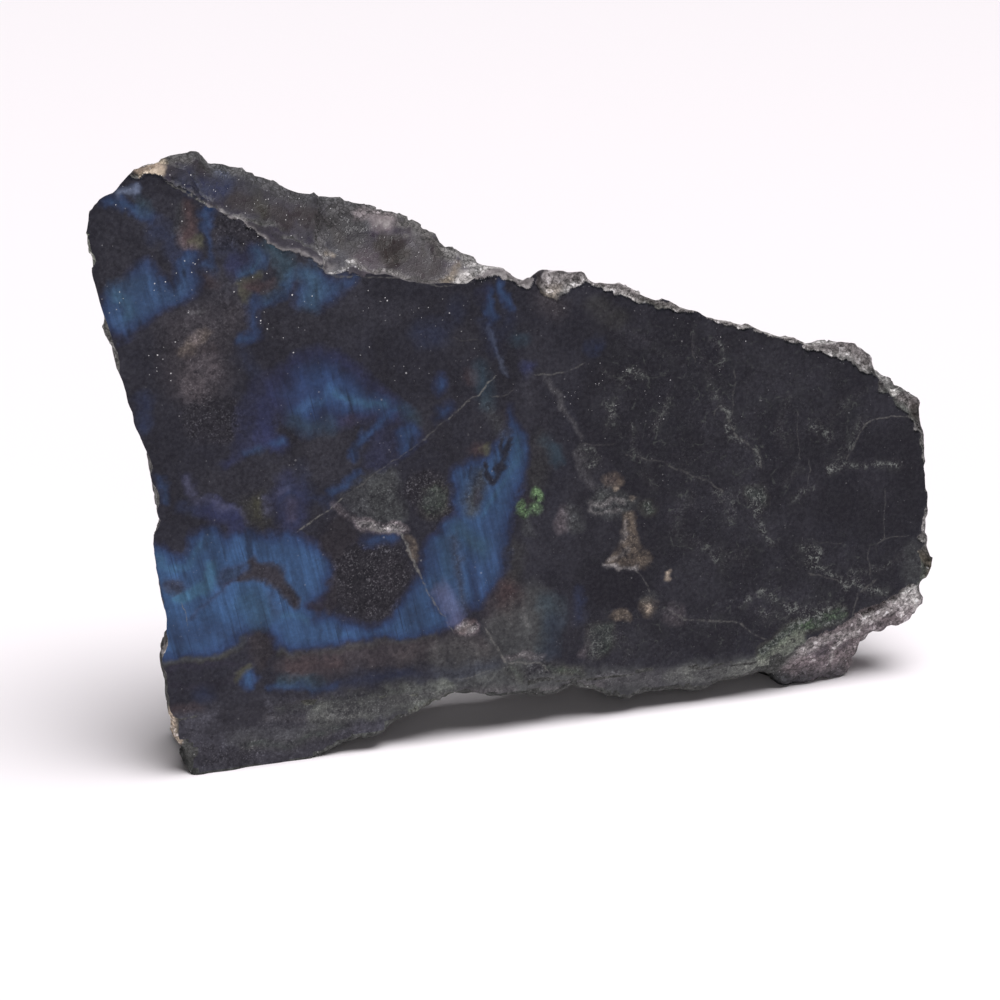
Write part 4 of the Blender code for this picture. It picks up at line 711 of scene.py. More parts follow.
# Where the polished face's margin is broken away: depth of the break, half width and its points.
FACE_BREAKS = {
    "chip_left": (0.5, 0, ((-36.9, 65.6), (-36.3, 64.2), (-35.2, 63.5), (-34, 62.8), (-32.4, 61.9),
        (-31.2, 61.3), (-30.8, 63), (-31.2, 66.8), (-36, 67))),
    "chip": (0.16, 0, ((-31.6, 60.9), (-29.1, 59.5), (-27.1, 58.1), (-25.4, 56.6), (-23.5, 55.4),
        (-21.4, 54.2), (-18.3, 52.7), (-16.2, 52), (-13.6, 51.6), (-13.6, 53.6), (-18, 56), (-24, 60),
        (-31, 63))),
    "peak": (0.9, 0.9, ((-37.6, 64.6), (-36.4, 65.4), (-34.8, 65))),
    "notch": (0.8, 0.9, ((-2.4, 51.6), (-0.4, 51.7), (1.4, 50.9), (3, 49.9))),
    "lump": (1.0, 0, ((3.2, 53), (3.9, 49.6), (4.8, 48.4), (6.6, 48), (7.8, 48.6), (8.6, 49.6),
        (10.6, 49.2), (12, 48.4), (12.6, 50.4), (8, 53))),
    "top_a": (0.8, 0.75, ((12, 49), (14.2, 48.6), (15.6, 47.7), (17.4, 46.7))),
    "top_b": (0.7, 0.55, ((17.4, 46.8), (20, 45.9), (24, 44.6), (27.8, 43.4), (31.6, 42))),
    "top_c": (0.7, 0.7, ((31, 42.2), (33.4, 41.4), (35.6, 40.4))),
    "frost": (1.1, 0, ((35, 42), (35.6, 39.8), (37.4, 39.3), (39.4, 38.6), (41.2, 37.8),
        (42.8, 36.4), (43.6, 35.6), (46, 36), (45, 40), (40, 42.6))),
    "shoulder": (1.0, 0, ((43.2, 37), (43.8, 34.6), (45.4, 33.6), (46.6, 32.2), (48, 31.2),
        (48.4, 29.4), (51, 29), (50, 35))),
    "right_a": (0.8, 0.5, ((49.2, 29.8), (49.9, 27), (50.4, 24))),
    "right_b": (0.8, 0.7, ((50.6, 23), (51, 21), (50.8, 18.6), (50.4, 16.8))),
    "nub": (1.2, 0, ((50.8, 17.2), (50, 15.6), (49.7, 13.8), (49.8, 12), (50.2, 10.8), (53, 12),
        (52.4, 16))),
    "corner": (1.2, 0, ((51.6, 12.2), (48.6, 11.3), (46.6, 10.3), (44, 9.6), (42, 8.7), (40, 7.8),
        (37.6, 6.8), (35.6, 5.6), (33.6, 4.4), (33, 3), (40, 1), (52, 5))),
    "left_edge": (0.7, 0.42, ((-43.4, 59.8), (-42.9, 56), (-42.1, 51.4))),
    "left_nub": (0.7, 0.4, ((-39.4, 37.6), (-39.1, 36.2))),
    "left_low": (0.6, 0.35, ((-38.9, 26.8), (-38.3, 24.2), (-37.4, 19.8), (-36.9, 15.4))),
    "toe": (0.9, 0.6, ((-37.2, 8.4), (-36.8, 6.2), (-35.6, 3.8), (-35, 1.6))),
}

EDGE_WANDER = ((0.60, 2.6), (0.30, 0.8), (0.16, 0.34))   # how far edges wander and over what length
PAINT_SHARE = 0.84      # the marks' colours against the light that falls on them
FLASH_LOSS = 0.20       # how much less of that the flashing blues keep
BREAK_SLOPE = 0.8       # how far in from its edge a break is at its full depth
LEAST_BREAK = 0.08      # a break deeper than this shows broken stone
VEIN_REACH = 1.2        # how far from a vein its glow is kept
FAR_OFF = 9.0           # stands for no vein or edge near by


def cell_values(cells, seed):
    """A fixed value from 0 to 1 for each cell of a grid, as a shuffled hash of its three numbers."""
    code = cells.astype(np.uint64)
    mixed = code[..., 0] * np.uint64(0x9E3779B97F4A7C15)
    mixed ^= code[..., 1] * np.uint64(0xC2B2AE3D27D4EB4F)
    mixed ^= code[..., 2] * np.uint64(0x165667B19E3779F9)
    mixed += np.uint64(seed * 7919 + 17)
    for shift, factor in ((30, 0xBF58476D1CE4E5B9), (27, 0x94D049BB133111EB)):
        mixed = (mixed ^ (mixed >> np.uint64(shift))) * np.uint64(factor)
    return ((mixed >> np.uint64(11)).astype(float)) / float(1 << 53)


def soft_noise(points, size, seed):
    """Smooth noise from -1 to 1, over lengths of about size, for an array of 3-D points."""
    place = points / size
    cell = np.floor(place)
    part = place - cell
    cell = cell.astype(np.int64)
    part = part * part * (3.0 - 2.0 * part)
    total = np.zeros(len(points))
    for corner in product((0, 1), repeat=3):
        share = np.ones(len(points))
        for axis in range(3):
            share *= part[:, axis] if corner[axis] else 1.0 - part[:, axis]
        total += share * cell_values(cell + np.array(corner), seed)
    return 2.0 * total - 1.0


def rough_noise(points, size, seed, octaves=3):
    """Noise with finer noise on it, each octave half as long and half as high as the last."""
    total = np.zeros(len(points))
    reach = 0.0
    for octave in range(octaves):
        weight = 0.5 ** octave
        total += weight * soft_noise(points, size * weight, seed + octave)
        reach += weight
    return total / reach


def rounded(outline, closed, times=2):
    """An outline with its corners cut, so that it bends smoothly."""
    points = np.array(outline, float)
    for _ in range(times):
        if len(points) < 3:
            return points
        nexts = np.roll(points, -1, axis=0) if closed else points[1:]
        firsts = points if closed else points[:-1]
        cut = np.empty((2 * len(firsts), 2))
        cut[0::2] = 0.75 * firsts + 0.25 * nexts
        cut[1::2] = 0.25 * firsts + 0.75 * nexts
        points = cut if closed else np.vstack((points[:1], cut[1:-1], points[-1:]))
    return points


def line_distance(places, line, closed):
    """Distance from each place to a line, and the side of it that the place is on, +1 or -1."""
    nearest = np.full(len(places), 1e9)
    side = np.ones(len(places))
    ends = np.roll(line, -1, axis=0) if closed else line[1:]
    for start, end in zip(line, ends):
        step = end - start
        offset = places - start
        share = np.clip(offset @ step / max(step @ step, 1e-12), 0.0, 1.0)
        gap = offset - share[:, None] * step
        distance = np.hypot(gap[:, 0], gap[:, 1])
        closer = distance < nearest
        nearest = np.where(closer, distance, nearest)
        side = np.where(closer, np.sign(step[0] * offset[:, 1] - step[1] * offset[:, 0]), side)
    return nearest, side


def inside(places, outline):
    """Whether each place lies inside a closed outline."""
    hit = np.zeros(len(places), bool)
    x, z = places[:, 0], places[:, 1]
    for (x0, z0), (x1, z1) in zip(outline, np.roll(outline, -1, axis=0)):
        if z0 == z1:
            continue
        crosses = ((z0 > z) != (z1 > z)) & (x < (x1 - x0) * (z - z0) / (z1 - z0) + x0)
        hit ^= crosses
    return hit


def depth_in(places, half_width, points):
    """How far each place lies inside a mark, negative outside it."""
    if half_width:
        return half_width - line_distance(places, rounded(points, False), False)[0]
    outline = rounded(points, True)
    distance = line_distance(places, outline, True)[0]
    return np.where(inside(places, outline), distance, -distance)


def near_to(places, points, margin):
    """The numbers of the places that lie within a margin of the box round some points."""
    corners = np.array(points, float)
    low, high = corners.min(axis=0) - margin, corners.max(axis=0) + margin
    return np.flatnonzero(np.all((places > low) & (places < high), axis=1))


def lay_marks(places, marks, layers):
    """Lay marks over the layers of a surface: its colour, flash, grain and web."""
    for finish, cover, half_width, points in marks.values():
        stops, flash, grain, web = FINISHES[finish]
        near = near_to(places, points, half_width + abs(stops[0][0]) + 0.05)
        if not len(near):
            continue
        depth = depth_in(places[near], half_width, points)
        distances = [stop[0] for stop in stops]
        alpha = cover * np.interp(depth, distances, [stop[2] for stop in stops])
        bands = [np.interp(depth, distances, [stop[1][band] for stop in stops]) for band in range(3)]
        colour = np.stack(bands, axis=1)
        layers["colour"][near] += alpha[:, None] * (colour - layers["colour"][near])
        for name, value in (("flash", flash), ("grain", grain), ("web", web)):
            layers[name][near] += alpha * (value - layers[name][near])


def ramp(value, low, high):
    """0 below low, 1 above high, and smooth between."""
    share = np.clip((value - low) / (high - low), 0.0, 1.0)
    return share * share * (3.0 - 2.0 * share)


def upright(places):
    """Places on the drawing as 3-D points on an upright plane."""
    return np.column_stack((places[:, 0], np.zeros(len(places)), places[:, 1]))


def wander(places):
    """The places moved a little, so that the edges of marks run unevenly."""
    high = upright(places)
    moves = []
    for seed in (3, 11):
        noises = [reach * rough_noise(high, size, seed + int(40 * size), 2) for reach, size in EDGE_WANDER]
        moves.append(sum(noises))
    return places + np.stack(moves, axis=1)


def lay_veins(places, layers):
    """The nearest thin vein: how far to its side a place is, and how bright the vein is there."""
    side_gap = np.full(len(places), FAR_OFF)
    glow = np.zeros(len(places))
    nearest = np.full(len(places), FAR_OFF)
    for brightness, half_width, points in VEINS:
        near = near_to(places, points, VEIN_REACH)
        if not len(near):
            continue
        distance, side = line_distance(places[near], rounded(points, False, 1), False)
        reach = distance / half_width
        closer = reach < nearest[near]
        chosen = near[closer]
        nearest[chosen] = reach[closer]
        side_gap[chosen] = (side * reach)[closer]
        glow[chosen] = brightness ** 1.6
    layers["vein_side"] = np.clip(side_gap, -FAR_OFF, FAR_OFF)
    layers["vein_glow"] = glow * np.clip(1.0 - (nearest - 1.0) / 4.0, 0.0, 1.0)


def broken_depth(places):
    """How far the polished face is broken back at each place, in millimetres, and 0 where it is whole."""
    moved = wander(places)
    depth = np.zeros(len(places))
    for break_depth, half_width, points in FACE_BREAKS.values():
        near = near_to(places, points, half_width + BREAK_SLOPE)
        if len(near):
            reach = depth_in(moved[near], half_width, points)
            depth[near] = np.maximum(depth[near], break_depth * np.clip(reach / BREAK_SLOPE, 0.0, 1.0))
    return depth


def bare_ground(count, colour):
    """The layers of a surface before any mark: one colour, with no flash, grain or web."""
    plainly = {name: np.zeros(count) for name in ("flash", "grain", "web")}
    return {"colour": np.tile(np.array(colour), (count, 1)), **plainly}


def foot_streaks(places):
    """How much paler or darker the streaks along the left foot are than the stone around them."""
    along = upright(places * np.array([0.22, 1.5]))
    reach = ramp(places[:, 1], 9.0, 7.0) * ramp(places[:, 0], 2.0, -6.0)
    return 1.0 + 0.8 * rough_noise(along, 1.5, 141, 3) * reach


def paint_face(places):
    """The layers of the polished face at places in drawing millimetres."""
    layers = bare_ground(len(places), NIGHT)
    moved = wander(places)
    lay_marks(moved, MARKS, layers)
    flash = layers["flash"]
    quiet = 1.0 - flash
    x, z = places[:, 0], places[:, 1]

    # Mottling drawn out and leaning along the stone's sheets, broad clouds, and dark blots in the flash.
    high = upright(places)
    along = high * np.array([1.0, 1.0, 0.30]) + 0.12 * high[:, [2, 1, 0]] * np.array([1.0, 0.0, 0.0])
    mottle = rough_noise(along, 1.5, 61, 3)
    cloud = rough_noise(high, 3.2, 71, 2)
    blot = ramp(rough_noise(along, 0.9, 81, 3), 0.22, 0.55) * ramp(cloud, -0.5, 0.3)
    strength = 1.0 + flash * (0.50 * mottle + 0.28 * cloud - 0.55 * blot)
    strength += quiet * (0.45 * cloud + 0.45 * mottle)

    # Brighter to the left, streaked along the foot, and a duller flash in the upper half.
    strength *= 0.93 + 0.25 * np.clip(0.2 - x / 25.0, 0.0, 1.0)
    strength *= foot_streaks(places)
    strength *= 1.0 - (0.12 + 0.55 * blot) * flash * ramp(z, 24.0, 32.0)
    layers["colour"] = layers["colour"] * np.maximum(strength, 0.1)[:, None]
    dusk = quiet * ramp(rough_noise(high, 4.0, 91, 3), -0.1, 0.6)
    layers["colour"] += (0.35 * dusk)[:, None] * (np.array(SLATE) - layers["colour"])
    layers["colour"] = np.maximum(layers["colour"], 0.0) * (PAINT_SHARE - FLASH_LOSS * flash)[:, None]
    lay_veins(0.5 * (places + moved), layers)

    # Dust in drifts, most of it at the upper left and some at the upper right.
    upper_left = np.clip((z - 36.0) / 14.0, 0.0, 1.0) * np.clip((6.0 - x) / 20.0, 0.0, 1.0)
    upper_right = ramp(z, 29.0, 35.0) * ramp(x, 4.0, 10.0) * ramp(x, 33.0, 26.0)
    drifts = ramp(rough_noise(high, 2.2, 121, 3), -0.25, 0.35)
    layers["dust"] = (0.14 + 0.86 * upper_left + 0.40 * upper_right) * drifts
    return layers


# --- skin: the broken rims, ends, feet and back ---

DARK_STONE = (0.030, 0.029, 0.030)
CHIP_STONE = (0.0205, 0.0170, 0.0270)
BACK_STONE = (0.046, 0.044, 0.040)
RIM_STONE = (0.105, 0.100, 0.100)
PALE_CRUST = (0.250, 0.235, 0.235)
BEVEL_STONE = (0.072, 0.074, 0.068)
FOOT_STONE = (0.030, 0.032, 0.031)
SKIN_SHARE = 1.10       # the skin's colours against the light that falls on it
CRUST_LEFT = 32.0       # the right foot's crust, right of this x and below this height on the drawing
CRUST_TOP = 12.0
BEVEL_TOP = 9.5         # the polish runs on over the even bevels below this height


def blend_to(colours, target, share):
    """Colours taken a share of the way to a target, each by its own share."""
    return colours + share[:, None] * (np.array(target) - colours)


def drawn_places(points):
    """Where points in part millimetres are seen on the drawing."""
    depth = points[:, 1] - FACE_Y
    return np.column_stack((points[:, 0] - DRAWING_X + SEEN_LEFT * depth, points[:, 2] + SEEN_UP * depth))


def paint_skin(points, normals):
    """The layers of the broken skin at points in part millimetres."""
    along, depth, height = points[:, 0], points[:, 1] - FACE_Y, points[:, 2]
    patch = rough_noise(points, 4.5, 101, 3)
    fine = rough_noise(points, 1.3, 111, 3)
    colours = np.tile(np.array(DARK_STONE), (len(points), 1))
    colours = blend_to(colours, BACK_STONE, ramp(patch, -0.3, 0.5))

    # The rims in front, with pale crust on them, the bevelled left edge and the foot.
    rim = ramp(depth, 11.5, 7.5) * ramp(height, 8.0, 14.0)
    colours = blend_to(colours, RIM_STONE, rim * ramp(patch + 0.6 * fine, -0.7, 0.3))
    colours = blend_to(colours, PALE_CRUST, rim * ramp(patch + 0.7 * fine, 0.15, 0.75))
    bevel = ramp(along, LOW[0] + 9.0, LOW[0] + 4.0) * ramp(depth, 6.0, 3.5)
    colours = blend_to(colours, BEVEL_STONE, bevel * 0.8)
    colours = blend_to(colours, FOOT_STONE, ramp(height, 9.0, 6.0) * ramp(depth, 9.0, 6.0) * 0.8)

    # The smooth steps of the chip along the upper left rim.
    chipped = ramp(-normals[:, 1], 0.74, 0.84) * ramp(depth, -0.01, 0.0)
    chipped = chipped * ramp(height, 44.0, 46.0) * ramp(along, 1.0, -1.0)
    chipped *= ramp(along, LOW[0] + 4.0, LOW[0] + 5.5)
    colours = blend_to(colours, CHIP_STONE, chipped * (0.80 + 0.20 * ramp(patch, 0.5, -0.3)))

    # The crust of the right foot.
    crust = ramp(along, HIGH[0] - 18.0, HIGH[0] - 12.0) * ramp(height, 12.0, 8.0) * ramp(depth, 12.0, 8.0)
    colours = blend_to(colours, ROSE, 0.8 * crust)
    colours = blend_to(colours, PALE_CRUST, crust * ramp(patch + 0.8 * fine, 0.1, 0.7))

    # The marks, on what is seen from the front.
    seen = drawn_places(points)
    layers = bare_ground(len(points), DARK_STONE)
    layers["colour"] = colours
    facing = np.flatnonzero((normals @ np.array(SIGHT_WAY) > 0.02) & (depth < 12.0))
    shown = {name: layer[facing].copy() for name, layer in layers.items()}
    lay_marks(wander(seen[facing]), RIM_MARKS, shown)
    for name, layer in shown.items():
        layers[name][facing] = layer
    layers["grit"] = 1.0 - 0.85 * chipped
    strength = (1.0 + 0.35 * layers["grit"] * fine) * foot_streaks(seen)
    layers["colour"] = layers["colour"] * strength[:, None] * SKIN_SHARE
    layers["sugar"] = ramp(layers["colour"].mean(axis=1), 0.08, 0.20) * layers["grit"]
    return layers


# --- the stone's mesh ---

FACET_SIZE = 2.1       # breadth of the small fracture facets on the skin
FACET_STEP = 0.22      # how far the facets stand in or out
GRIT_SIZE = 0.75       # breadth of the grit on them
GRIT_STEP = 0.10
EVEN_BREAK = 0.88      # how squarely a bevel looks to the front, as part of its normal
FLAT_LOOK = 0.999      # how squarely a face looks that lies in a plane
PLANE_SLACK = 0.02     # how far off the plane it may lie
BORDER_WELD = 0.03     # points of the polished face's border closer than this are one
EDGE_LOOK = 1.5        # how far from an edge's start the points beside it lie


def facet_field(points, size, seed):
    """A height that is nearly plane inside each cell of a scattered pattern, so that edges form between."""
    cell = np.floor(points / size).astype(np.int64)
    best = np.full(len(points), 1e9)
    height = np.zeros(len(points))
    for offset in product((-1, 0, 1), repeat=3):
        near = cell + np.array(offset)
        jitter = np.stack([cell_values(near, seed + axis) for axis in range(3)], axis=1)
        gap = points / size - (near + jitter)
        distance = (gap * gap).sum(axis=1)
        slope = np.stack([cell_values(near, seed + 5 + axis) - 0.5 for axis in range(3)], axis=1)
        value = 2.0 * cell_values(near, seed + 9) - 1.0 + 1.6 * (gap * slope).sum(axis=1)
        closer = distance < best
        best = np.where(closer, distance, best)
        height = np.where(closer, value, height)
    return np.clip(height, -1.5, 1.5)


def pushed_out(mesh, direction, spare):
    """Carry the flat faces that look in a direction outwards, so that a remesh leaves their plane alone."""
    axis = max(range(3), key=lambda index: abs(direction[index]))
    square = [face for face in mesh.faces if face.normal.dot(direction) > FLAT_LOOK]
    reaches = [face.calc_center_median()[axis] * direction[axis] for face in square]
    plane = max(reaches)
    flat = [face for face, reach in zip(square, reaches) if abs(reach - plane) < PLANE_SLACK * MM]
    grown = bmesh.ops.extrude_face_region(mesh, geom=flat)["geom"]
    corners = [part for part in grown if isinstance(part, bmesh.types.BMVert)]
    bmesh.ops.translate(mesh, vec=direction * spare * MM, verts=corners)


def remeshed(mesh, cell):
    """A mesh rebuilt from even cells, as a new mesh."""
    holder = bpy.data.objects.new("holder", mesh)
    bpy.context.scene.collection.objects.link(holder)
    modifier = holder.modifiers.new("cells", "REMESH")
    modifier.mode = "VOXEL"
    modifier.voxel_size = cell * MM
    made = bpy.data.meshes.new_from_object(holder.evaluated_get(bpy.context.evaluated_depsgraph_get()))
    bpy.data.objects.remove(holder)
    return made


def rough_skin():
    """The stone's skin, broken and grained, open at the polished face's plane."""
    work = bmesh.new()
    work.from_mesh(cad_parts[NODE].data)
    bmesh.ops.remove_doubles(work, verts=work.verts, dist=0.001 * MM)
    pushed_out(work, Vector((0.0, -1.0, 0.0)), SAW_SPARE)
    pushed_out(work, Vector((0.0, 0.0, -1.0)), FLOOR_SPARE)
    coarse = bpy.data.meshes.new("coarse")
    bmesh.ops.triangulate(work, faces=work.faces)
    work.to_mesh(coarse)
    work.free()
    skin = remeshed(coarse, SKIN_CELL)
    points = np.empty(3 * len(skin.vertices))
    skin.vertices.foreach_get("co", points)
    points = points.reshape(-1, 3) / MM
    normals = np.array([tuple(vertex.normal) for vertex in skin.vertices])

    # Facets and grit, less of both on the left end and on what looks to the front, crust aside.
    calm = 0.25 + 0.75 * ramp(points[:, 0], LOW[0] + 3.0, LOW[0] + 8.0)
    crust = ramp(points[:, 0] - DRAWING_X, CRUST_LEFT - 1.0, CRUST_LEFT + 1.0)
    crust = crust * ramp(points[:, 2], CRUST_TOP, CRUST_TOP - 1.0)
    calm *= 1.0 - 0.88 * ramp(-normals[:, 1], 0.78, 0.86) * (1.0 - crust)
    step = FACET_STEP * (facet_field(points, FACET_SIZE, 201) - 0.25)
    step = step + GRIT_STEP * rough_noise(points, GRIT_SIZE, 221, 2)
    points = points + normals * (calm * step)[:, None]
    points[:, 0] = np.clip(points[:, 0], LOW[0], HIGH[0])
    points[:, 1] = np.minimum(points[:, 1], HIGH[1])
    points[:, 2] = np.minimum(points[:, 2], HIGH[2])
    skin.vertices.foreach_set("co", (points * MM).ravel())

    # Cut flat again: closed where it stands, and left open at the polished face.
    work = bmesh.new()
    work.from_mesh(skin)
    floor, saw_cut = ((0.0, 0.0, 0.0), (0.0, 0.0, -1.0)), ((0.0, FACE_Y * MM, 0.0), (0.0, -1.0, 0.0))
    for place, normal in (floor, saw_cut):
        everything = work.verts[:] + work.edges[:] + work.faces[:]
        cut = bmesh.ops.bisect_plane(
            work, geom=everything, plane_co=place, plane_no=normal, clear_outer=True)
        if normal[2]:
            edges = [part for part in cut["geom_cut"] if isinstance(part, bmesh.types.BMEdge)]
            rim = [edge for edge in edges if edge.is_boundary]
            bmesh.ops.triangle_fill(work, edges=rim, use_beauty=True, normal=normal)
    border = [vertex for vertex in work.verts if vertex.is_boundary]
    bmesh.ops.remove_doubles(work, verts=border, dist=BORDER_WELD * MM)
    bmesh.ops.triangulate(work, faces=[face for face in work.faces if len(face.verts) > 3])
    bpy.data.meshes.remove(coarse)
    bpy.data.meshes.remove(skin)
    return work


def border_loops(work):
    """The open borders of a mesh, each as its points' numbers in order."""
    follows = {}
    for edge in work.edges:
        if edge.is_boundary:
            loop = edge.link_loops[0]
            follows[loop.link_loop_next.vert.index] = loop.vert.index
    loops = []
    while follows:
        start = next(iter(follows))
        loop = [start]
        step = follows.pop(start)
        while step != start:
            loop.append(step)
            step = follows.pop(step)
        loops.append(loop)
    return loops


def face_points(outline):
    """Points inside the polished face: an open lattice, and a closer one where its marks change most."""
    low, high = outline.min(axis=0), outline.max(axis=0)
    rows = np.arange(low[1], high[1], FACE_CELL * ROW_RISE)
    columns = np.arange(low[0], high[0], FACE_CELL)
    x, z = np.meshgrid(columns, rows)
    x = x + 0.5 * FACE_CELL * (np.arange(len(rows)) % 2)[:, None]
    row, column = np.indices(x.shape)
    coarse = ((row % 2 == 0) & ((column + row // 2) % 2 == 0)).ravel()
    places = np.column_stack((x.ravel(), z.ravel()))
    keep = inside(places, outline)
    places, coarse = places[keep], coarse[keep]

    # No point comes too near the face's own edge.
    gap = np.full(len(places), FAR_OFF)
    for start, end in zip(outline, np.roll(outline, -1, axis=0)):
        step = end - start
        offset = places - start
        near = np.flatnonzero(np.abs(offset).max(axis=1) < EDGE_LOOK)
        share = np.clip(offset[near] @ step / max(step @ step, 1e-12), 0.0, 1.0)
        gap[near] = np.minimum(gap[near], np.hypot(*(offset[near] - share[:, None] * step).T))
    places, coarse = places[gap > EDGE_CLEARANCE], coarse[gap > EDGE_CLEARANCE]

    # The finest points go where the paint differs most from one of its six neighbours.
    shift = np.array([DRAWING_X, 0.0])
    layers = paint_face(places - shift)
    broken = np.minimum(broken_depth(places - shift), 0.3)
    extras = (0.5 * layers["vein_glow"], 0.2 * layers["grain"], 0.2 * layers["web"], broken)
    shade = np.column_stack((np.sqrt(layers["colour"]), *extras))
    key = np.round(places / FACE_CELL / np.array([0.5, ROW_RISE])).astype(np.int64)
    order = {tuple(pair): index for index, pair in enumerate(key)}
    change = np.zeros(len(places))
    for step in ((2, 0), (-2, 0), (1, 1), (-1, 1), (1, -1), (-1, -1)):
        other = np.array([order.get((a + step[0], b + step[1]), -1) for a, b in key.tolist()])
        found = other >= 0
        change[found] = np.maximum(change[found], np.abs(shade[found] - shade[other[found]]).max(axis=1))
    change += 0.25 * layers["vein_glow"]
    change[coarse] = -1.0
    fine = np.argsort(-change)[:FACE_FINE_POINTS]
    chosen = np.flatnonzero(coarse | np.isin(np.arange(len(places)), fine))
    return places[chosen]


def stone():
    """The whole stone as one closed mesh, its polished face filled, and what each point belongs to."""
    work = rough_skin()
    work.verts.index_update()
    work.verts.ensure_lookup_table()
    loops = sorted(border_loops(work), key=len)
    skin_points = np.array([tuple(vertex.co) for vertex in work.verts]) / MM
    triangles = [[vertex.index for vertex in face.verts] for face in work.faces]
    work.free()
    ring = loops[-1]
    outline = skin_points[ring][:, [0, 2]]
    inner = face_points(outline)
    flat = np.vstack((outline, inner))
    size = len(ring)
    edges = [(index, (index + 1) % size) for index in range(size)]

    # The face is filled with triangles, and pushed in where its margin is broken.
    filled = delaunay_2d_cdt([Vector(pair) for pair in flat.tolist()], edges, [], 1, 1e-6, False)[2]
    shift = np.array([DRAWING_X, 0.0])
    depth = broken_depth(inner - shift)
    front = np.column_stack((inner[:, 0], np.full(len(inner), FACE_Y), inner[:, 1]))
    uneven = 0.7 + 0.3 * facet_field(front, 1.3, 301) + 0.15 * rough_noise(front, 0.6, 311, 2)
    front[:, 1] += depth * np.maximum(uneven, 0.2)
    points = np.vstack((skin_points, front))
    number = np.concatenate((np.array(ring), len(skin_points) + np.arange(len(inner))))
    corners = np.array(filled)
    corners = corners[inside(flat[corners].mean(axis=1), outline)]
    faces = number[corners]

    # Every new triangle looks to the front.
    a, b, c = (points[faces[:, corner]] for corner in range(3))
    turn = np.cross(b - a, c - a)[:, 1]
    faces[turn > 0] = faces[turn > 0][:, ::-1]
    mesh = bpy.data.meshes.new("stone")
    mesh.from_pydata((points * MM).tolist(), [], triangles + faces.tolist())
    mesh.update()
    on_face = np.zeros(len(points), bool)
    on_face[number] = True
    broken = np.zeros(len(points), bool)
    broken[number] = np.concatenate((broken_depth(outline - shift), depth)) > LEAST_BREAK
    return mesh, points, on_face, broken, len(triangles), ring


def store(mesh, name, values):
    """Keep values on a mesh's points: one number each, or a colour."""
    if values.ndim == 1:
        layer = mesh.attributes.new(name, "FLOAT", "POINT")
        layer.data.foreach_set("value", values.astype(np.float32))
        return
    layer = mesh.attributes.new(name, "FLOAT_COLOR", "POINT")
    colours = np.column_stack((values, np.ones(len(values))))
    layer.data.foreach_set("color", colours.astype(np.float32).ravel())


def dressed_stone():
    """The stone as the scene's one piece: painted, with its polished and broken faces told apart."""
    mesh, points, on_face, broken, skin_count, ring = stone()
    normals = np.array([tuple(vertex.normal) for vertex in mesh.vertices])
    depth = points[:, 1] - FACE_Y
    crust = (points[:, 0] - DRAWING_X > CRUST_LEFT) & (points[:, 2] < CRUST_TOP)
    even = (normals[:, 1] < -EVEN_BREAK) & (depth < 6.0)
    bevelled = ~on_face & even & (points[:, 2] < BEVEL_TOP) & ~crust
    on_skin = ~on_face | broken
    on_skin[ring] = True
    polished = on_face | bevelled
    face = paint_face(drawn_places(points)[polished])
    skin = paint_skin(points[on_skin], normals[on_skin])
    for name, layer in face.items():
        values = np.zeros((len(points),) + layer.shape[1:])
        values[polished] = layer
        store(mesh, "face_" + name, values)
    for name in ("colour", "sugar", "grit"):
        values = np.zeros((len(points),) + skin[name].shape[1:])
        values[on_skin] = skin[name]
        store(mesh, "skin_" + name, values)

    # Each triangle is polished or rough, and the light breaks sharply where the polish ends.
    corners = np.empty(3 * len(mesh.polygons), np.int32)
    mesh.polygons.foreach_get("vertices", corners)
    corners = corners.reshape(-1, 3)
    rough = np.arange(len(corners)) < skin_count
    rough &= ~polished[corners].all(axis=1) | ~bevelled[corners].any(axis=1)
    rough |= broken[corners].sum(axis=1) >= 2
    mesh.polygons.foreach_set("material_index", rough.astype(np.int32))
    mesh.polygons.foreach_set("use_smooth", np.ones(len(mesh.polygons), bool))
    border = set(zip(ring, ring[1:] + ring[:1]))
    border = {pair for pair in border if points[pair[0]][2] > BEVEL_TOP or not polished[list(pair)].all()}
    edges = [tuple(edge.vertices) for edge in mesh.edges]
    sharp = [edge in border or edge[::-1] in border for edge in edges]
    mesh.attributes.new("sharp_edge", "BOOLEAN", "EDGE").data.foreach_set("value", sharp)
    piece = bpy.data.objects.new("labradorite_stone", mesh)
    bpy.context.scene.collection.objects.link(piece)
    return piece


# --- materials ---

VEIN_PALE = (0.125, 0.122, 0.112, 1.0)
WEB_PALE = (0.042, 0.047, 0.041, 1.0)
KNOT_PALE = (0.150, 0.160, 0.148, 1.0)
DUST_WHITE = (0.55, 0.54, 0.55, 1.0)
HAZE_PALE = (0.020, 0.023, 0.021, 1.0)
SUGAR_WHITE = (0.62, 0.60, 0.61, 1.0)
SEAM_DARK = (0.012, 0.012, 0.012, 1.0)
POLISH_SHEEN = (0.84, 0.81, 1.0, 1.0)
FLOOR_PALE = (0.88, 0.835, 0.865, 1.0)
FACE_GAIN = 1.26        # the face's colours against the light on it, which comes mostly off the floor
SKIN_GAIN = 1.42
PALEST = (0.80, 0.80, 0.80)
CRYSTALS_PER_MM = 1.9
STONE_IOR = 1.5
SHEET_TURN = radians(13.0)        # how far the fine sheets across the flash lean from upright
POLISH_RELIEF = 0.06 * MM
BREAK_RELIEF = 0.22 * MM
SKIN_DUST = 0.5


